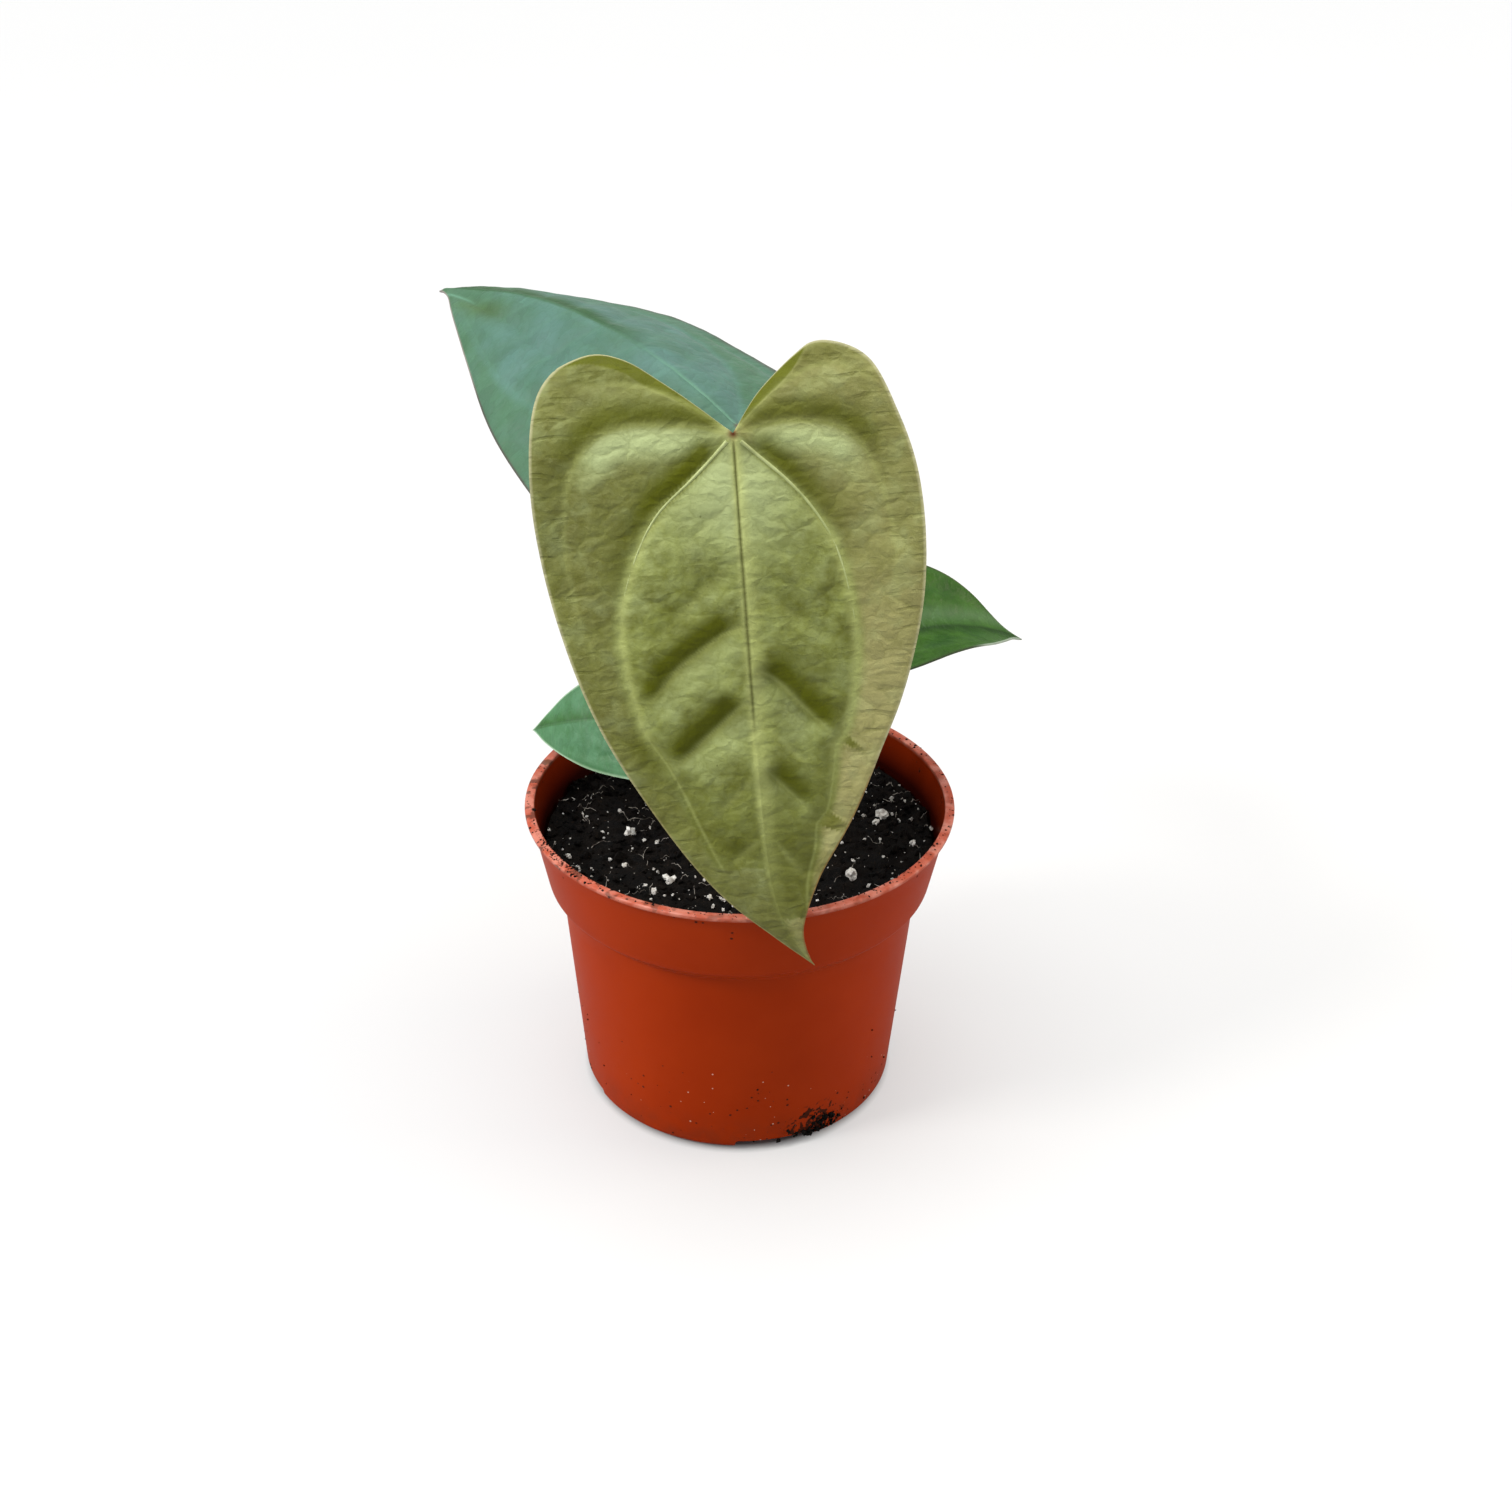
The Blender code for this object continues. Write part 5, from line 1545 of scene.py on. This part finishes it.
def set_thickness(blade, share):
    """The blade given its thickness, which the vertex group varies from margin to midrib."""
    group = blade.vertex_groups.new(name="thickness")
    levels = np.round(np.clip(share, 0.0, 1.0), 2)
    for level in np.unique(levels):
        group.add([int(index) for index in np.nonzero(levels == level)[0]], float(level), "REPLACE")
    sheet = blade.modifiers.new("thickness", "SOLIDIFY")
    sheet.thickness = RIB_THICKNESS
    sheet.offset = -1.0
    sheet.vertex_group = group.name
    sheet.material_offset = 1
    sheet.material_offset_rim = 2
    apply_modifiers(blade)


def blade_marks(leaf, flat_mm, margin_mm, scale):
    """The upper side's height over the smooth blade, its pale lines, and the masks that colour it."""
    along, across = flat_mm.T
    veins = FRONT_VEINS if leaf.name == "front" else plain_veins(leaf)
    height, valley_shade, lit, pale, outer = blade_relief(flat_mm, veins)
    groove, band, crease_shade, rib = midrib_marks(leaf, flat_mm)
    inside = soft_step(margin_mm, 0.0, 1.5)
    height += groove * scale + fine_relief(leaf, flat_mm) * scale * (0.3 + 0.7 * inside)
    height -= 0.5 * (1 - soft_step(margin_mm, 0.0, 2.2)) * scale
    if leaf.name == "front":
        drop, fold = folded(flat_mm)
        height -= drop
        # Painted shade where the lobes fold down.
        valley_shade = np.maximum(valley_shade, fold)
        # Painted sheen over the middle panels near the heart.
        top_light = 0.95 * np.exp(-(np.hypot(along - 13.0, across) / 15.0) ** 2) * (1 - outer)
        lit = np.maximum(lit, top_light)
        # The lower middle painted darker with the valleys' painted shade.
        low = soft_step(along, 76.0, 96.0) * (1 - soft_step(along, 118.0, 132.0)) * (1 - outer)
        valley_shade = np.maximum(valley_shade, 0.42 * low)
    else:
        valley_shade = np.maximum(valley_shade, midrib_shade(leaf, flat_mm))
    masks = {
        "vein": np.maximum(pale, band), "crease_shade": crease_shade, "valley_shade": valley_shade, "lit": lit,
        "margin": margin_mm, "rib": rib,
        "heart": np.exp(-(np.hypot(along - 0.2, across) / (1.3 * scale)) ** 2),
        "outer": outer,
        "tip": soft_step(along / (leaf.length / MM), 0.55, 1.0),
        "patch_tint_and_gloss": patch_tint_and_gloss_strip(leaf, flat_mm, outer),
    }
    return height, pale, masks


def lay_flat_map(mesh, flat_mm):
    """The UV map that holds each point's place on the flat blade."""
    layer = mesh.uv_layers.new(name="flat blade")
    loops = np.empty(len(mesh.loops), np.int32)
    mesh.loops.foreach_get("vertex_index", loops)
    layer.data.foreach_set("uv", (flat_mm / FLAT_UNIT)[loops].astype(np.float32).ravel())


def make_blade(leaf):
    flat, margin, faces = blade_surface(leaf)
    scale = leaf.length / FRONT_LENGTH
    height, pale, masks = blade_marks(leaf, flat / MM, margin / MM, scale)
    blade = mesh_object("blade_" + leaf.name, blade_point_on(leaf, flat, height), faces)
    lay_flat_map(blade.data, flat / MM)
    for name, values in masks.items():
        store(blade.data, name, values)
    look = LOOKS[leaf.name]
    for material in (blade_upper(look), blade_under(look), blade_rim(look)):
        blade.data.materials.append(material)
    rib_part = (RIB_THICKNESS * scale - BLADE_THICKNESS) * masks["rib"]
    vein_part = VEIN_THICKNESS * np.clip(pale, 0.0, 1.0)
    set_thickness(blade, (BLADE_THICKNESS + rib_part + vein_part) / RIB_THICKNESS)
    put_on(blade, leaf.name + "_leaf_blade", None, LEAF_SLOTS[leaf.name], ["blade_" + leaf.name], smooth=55.0)


def make_cords(leaf, veins, material):
    """The basal veins' first stretches, standing up from the blade as thin tapering cords."""
    paths = []
    for vein in (vein for vein in veins if vein.cord):
        flat_mm = smooth_path(vein.points, 120)[2:56]
        height = blade_relief(flat_mm, veins)[0]
        places = blade_point_on(leaf, flat_mm * MM, height - vein.cord * 0.40)
        shares = np.linspace(0.0, 1.0, len(places))
        radii = vein.cord * MM * (1 - shares) ** 0.8 + 0.00004
        paths.append(list(zip(places, radii)))
    cords = tube_from("cords", paths, 0.0005, 4)
    close_and_face_out(cords, 1e-7)
    put_on(cords, leaf.name + "_leaf_cords", material, LEAF_SLOTS[leaf.name], smooth=60.0)


def petiole_path(leaf):
    """Places along a stalk, its foot's direction from the crown, and where its foot and its hold are."""
    along, _, out = blade_axes(leaf)
    turn = math.radians(leaf.foot_turn)
    away = np.array((math.cos(turn), math.sin(turn), 0.0))
    upward = np.array((0.0, 0.0, 1.0))
    start = away * PETIOLE_OFFSET + upward * (CROWN_TOP - 0.002)
    end = hold_point(leaf) + along * PETIOLE_GRIP
    neck = end - out * 0.0016
    rise = np.linalg.norm(neck - start)
    pulls = (start, start + upward * 0.35 * rise + away * 0.0015, neck - out * 1.8 * KNEE_LENGTH, neck)
    steps = np.linspace(0.0, 1.0, PETIOLE_RINGS)[:, None]
    path = (pulls[0] * (1 - steps) ** 3 + pulls[1] * 3 * steps * (1 - steps) ** 2
            + pulls[2] * 3 * steps ** 2 * (1 - steps) + pulls[3] * steps ** 3)
    return np.vstack([path, end - out * 0.0008]), away, start, end


def make_petiole(leaf, material):
    """The stalk: out of the crown, up, and over its swollen knee into the underside of the blade."""
    path, away, start, end = petiole_path(leaf)
    foot = np.exp(-np.linalg.norm(path - start, axis=1) / 0.012)
    knee = np.exp(-((np.linalg.norm(path - end, axis=1) / KNEE_LENGTH) ** 4))
    radii = (PETIOLE_RADIUS + (PETIOLE_BASE_RADIUS - PETIOLE_RADIUS) * foot
             + (KNEE_RADIUS - PETIOLE_RADIUS) * knee)
    stalk = tube_from("stalk", [list(zip(path, radii))], PETIOLE_RADIUS, 10)
    points = points_of(stalk)
    nearest = np.array([np.argmin(np.sum((path - point) ** 2, axis=1)) for point in points])
    centre = path[nearest]
    spoke = points - centre
    side = (spoke @ away) / np.maximum(np.linalg.norm(spoke, axis=1), 1e-9)
    channel = 0.16 * np.exp(-((side + 1.0) / 0.35) ** 2) * (1 - foot[nearest])
    lumps = np.array([noise.noise(Vector(point) * 260.0) for point in points]) * 0.05
    set_points(stalk, centre + spoke * (1 - channel + lumps)[:, None])
    store(stalk.data, "knee", knee[nearest])
    store(stalk.data, "foot", np.clip(foot[nearest] * 1.3, 0.0, 1.0))
    close_and_face_out(stalk, 1e-7)
    put_on(stalk, leaf.name + "_stalk", material, "petiole_skin", ["petiole_" + leaf.name], smooth=60.0)


# ---- Stage ---------------------------------------------------------------------------------------
def soft_light(name, toward, distance, size, power, colour):
    """A square soft box, aimed at the plant from the given direction."""
    data = bpy.data.lights.new(name, "AREA")
    data.size = size
    data.energy = power
    data.color = colour
    lamp = bpy.data.objects.new(name, data)
    direction = Vector(toward).normalized()
    lamp.location = Vector(PLANT_MIDDLE) + direction * distance
    lamp.rotation_euler = direction.to_track_quat("Z", "Y").to_euler()
    bpy.context.scene.collection.objects.link(lamp)


def distant_light(name, toward, spread, strength, colour):
    """A light whose shadow is as wide and as soft everywhere on the floor."""
    data = bpy.data.lights.new(name, "SUN")
    data.angle = math.radians(spread)
    data.energy = strength
    data.color = colour
    lamp = bpy.data.objects.new(name, data)
    lamp.rotation_euler = Vector(toward).normalized().to_track_quat("Z", "Y").to_euler()
    bpy.context.scene.collection.objects.link(lamp)


def seen_directly(tree):
    return add(tree, "ShaderNodeLightPath").outputs["Is Camera Ray"]


def make_floor():
    """A pale floor that looks white, while the light it throws back on the plant stays low."""
    deselect_all()
    bpy.ops.mesh.primitive_plane_add(size=FLOOR_SIZE, location=(0.0, 0.0, POT_LOW.z - FLOOR_GAP))
    floor = bpy.context.active_object
    bpy.ops.object.transform_apply(location=True, rotation=True, scale=True)
    floor.name = "floor"
    material, tree, shader = new_material("pale floor", Specular_IOR_Level=0.0, Emission_Strength=1.0)
    place = object_place(tree)
    clouds = mottled(tree, place, 0.6, 0.4)
    colour = blend(tree, clouds, (0.355, 0.355, 0.355), (0.365, 0.365, 0.365))
    finish_material(tree, shader, colour, remap(tree, clouds, 0.0, 1.0, 0.85, 0.9))
    centre = add(tree, "ShaderNodeVectorMath", {0: place}, operation="LENGTH").outputs["Value"]
    clear = remap(tree, centre, FOOT_RADIUS - 0.003, FOOT_RADIUS + 0.001)
    glow = blend(tree, times(tree, seen_directly(tree), clear), (0.0, 0.0, 0.0), FLOOR_GLOW)
    tree.links.new(glow, shader.inputs["Emission Color"])
    floor.data.materials.append(material)
    deselect_all()


def make_room():
    """Light from all round, far stronger overhead than at the horizon."""
    world = bpy.data.worlds.new("room")
    world.use_nodes = True
    tree = world.node_tree
    split = add(tree, "ShaderNodeSeparateXYZ", {0: add(tree, "ShaderNodeTexCoord").outputs["Generated"]})
    height = maths(tree, "MAXIMUM", split.outputs["Z"], 0.0)
    light = blend(tree, height, HORIZON_LIGHT, ZENITH_LIGHT)
    light = blend(tree, seen_directly(tree), light, (1.0, 1.0, 1.0))
    tree.links.new(light, tree.nodes["Background"].inputs["Color"])
    bpy.context.scene.world = world


def make_camera():
    data = bpy.data.cameras.new("camera")
    data.lens = CAMERA_LENS
    data.sensor_width = CAMERA_SENSOR
    camera = bpy.data.objects.new("camera", data)
    camera.location = CAMERA_PLACE
    camera.rotation_euler = [math.radians(angle) for angle in CAMERA_TURN]
    bpy.context.scene.collection.objects.link(camera)
    bpy.context.scene.camera = camera


def make_stage():
    make_floor()
    make_room()
    distant_light("key light", (-0.70, -0.30, 0.64), 15.0, 1.42, (1.0, 0.97, 0.92))
    distant_light("skylight", (-0.08, 0.10, 1.0), 50.0, 1.9, (1.0, 1.0, 0.98))
    soft_light("left window", (-1.0, -0.05, 0.50), 1.2, 0.7, 4.2, (1.0, 0.98, 0.97))
    soft_light("right fill", (1.0, 0.1, 0.45), 1.3, 0.7, 7.0, (1.0, 0.88, 0.72))
    bpy.context.scene.view_settings.view_transform = "Standard"
    make_camera()


# ---- The plant in its pot ------------------------------------------------------------------------
def main():
    make_stage()
    make_pot()
    peat = peat_soil()
    make_soil(peat)
    make_crumbs(peat)
    make_stuck_soil(peat)
    make_perlite(perlite_skin())
    make_fibres(fibre_skin())
    make_crown(stem_skin())
    paper = sheath_paper()
    for index in range(len(SHEATH_TURNS)):
        make_sheath(index, paper)
    dress_roots(root_skin())
    stalks = petiole_skin()
    for leaf in LEAVES:
        make_petiole(leaf, stalks)
        make_blade(leaf)
    make_cords(LEAVES[0], FRONT_VEINS, cord_skin())


main()
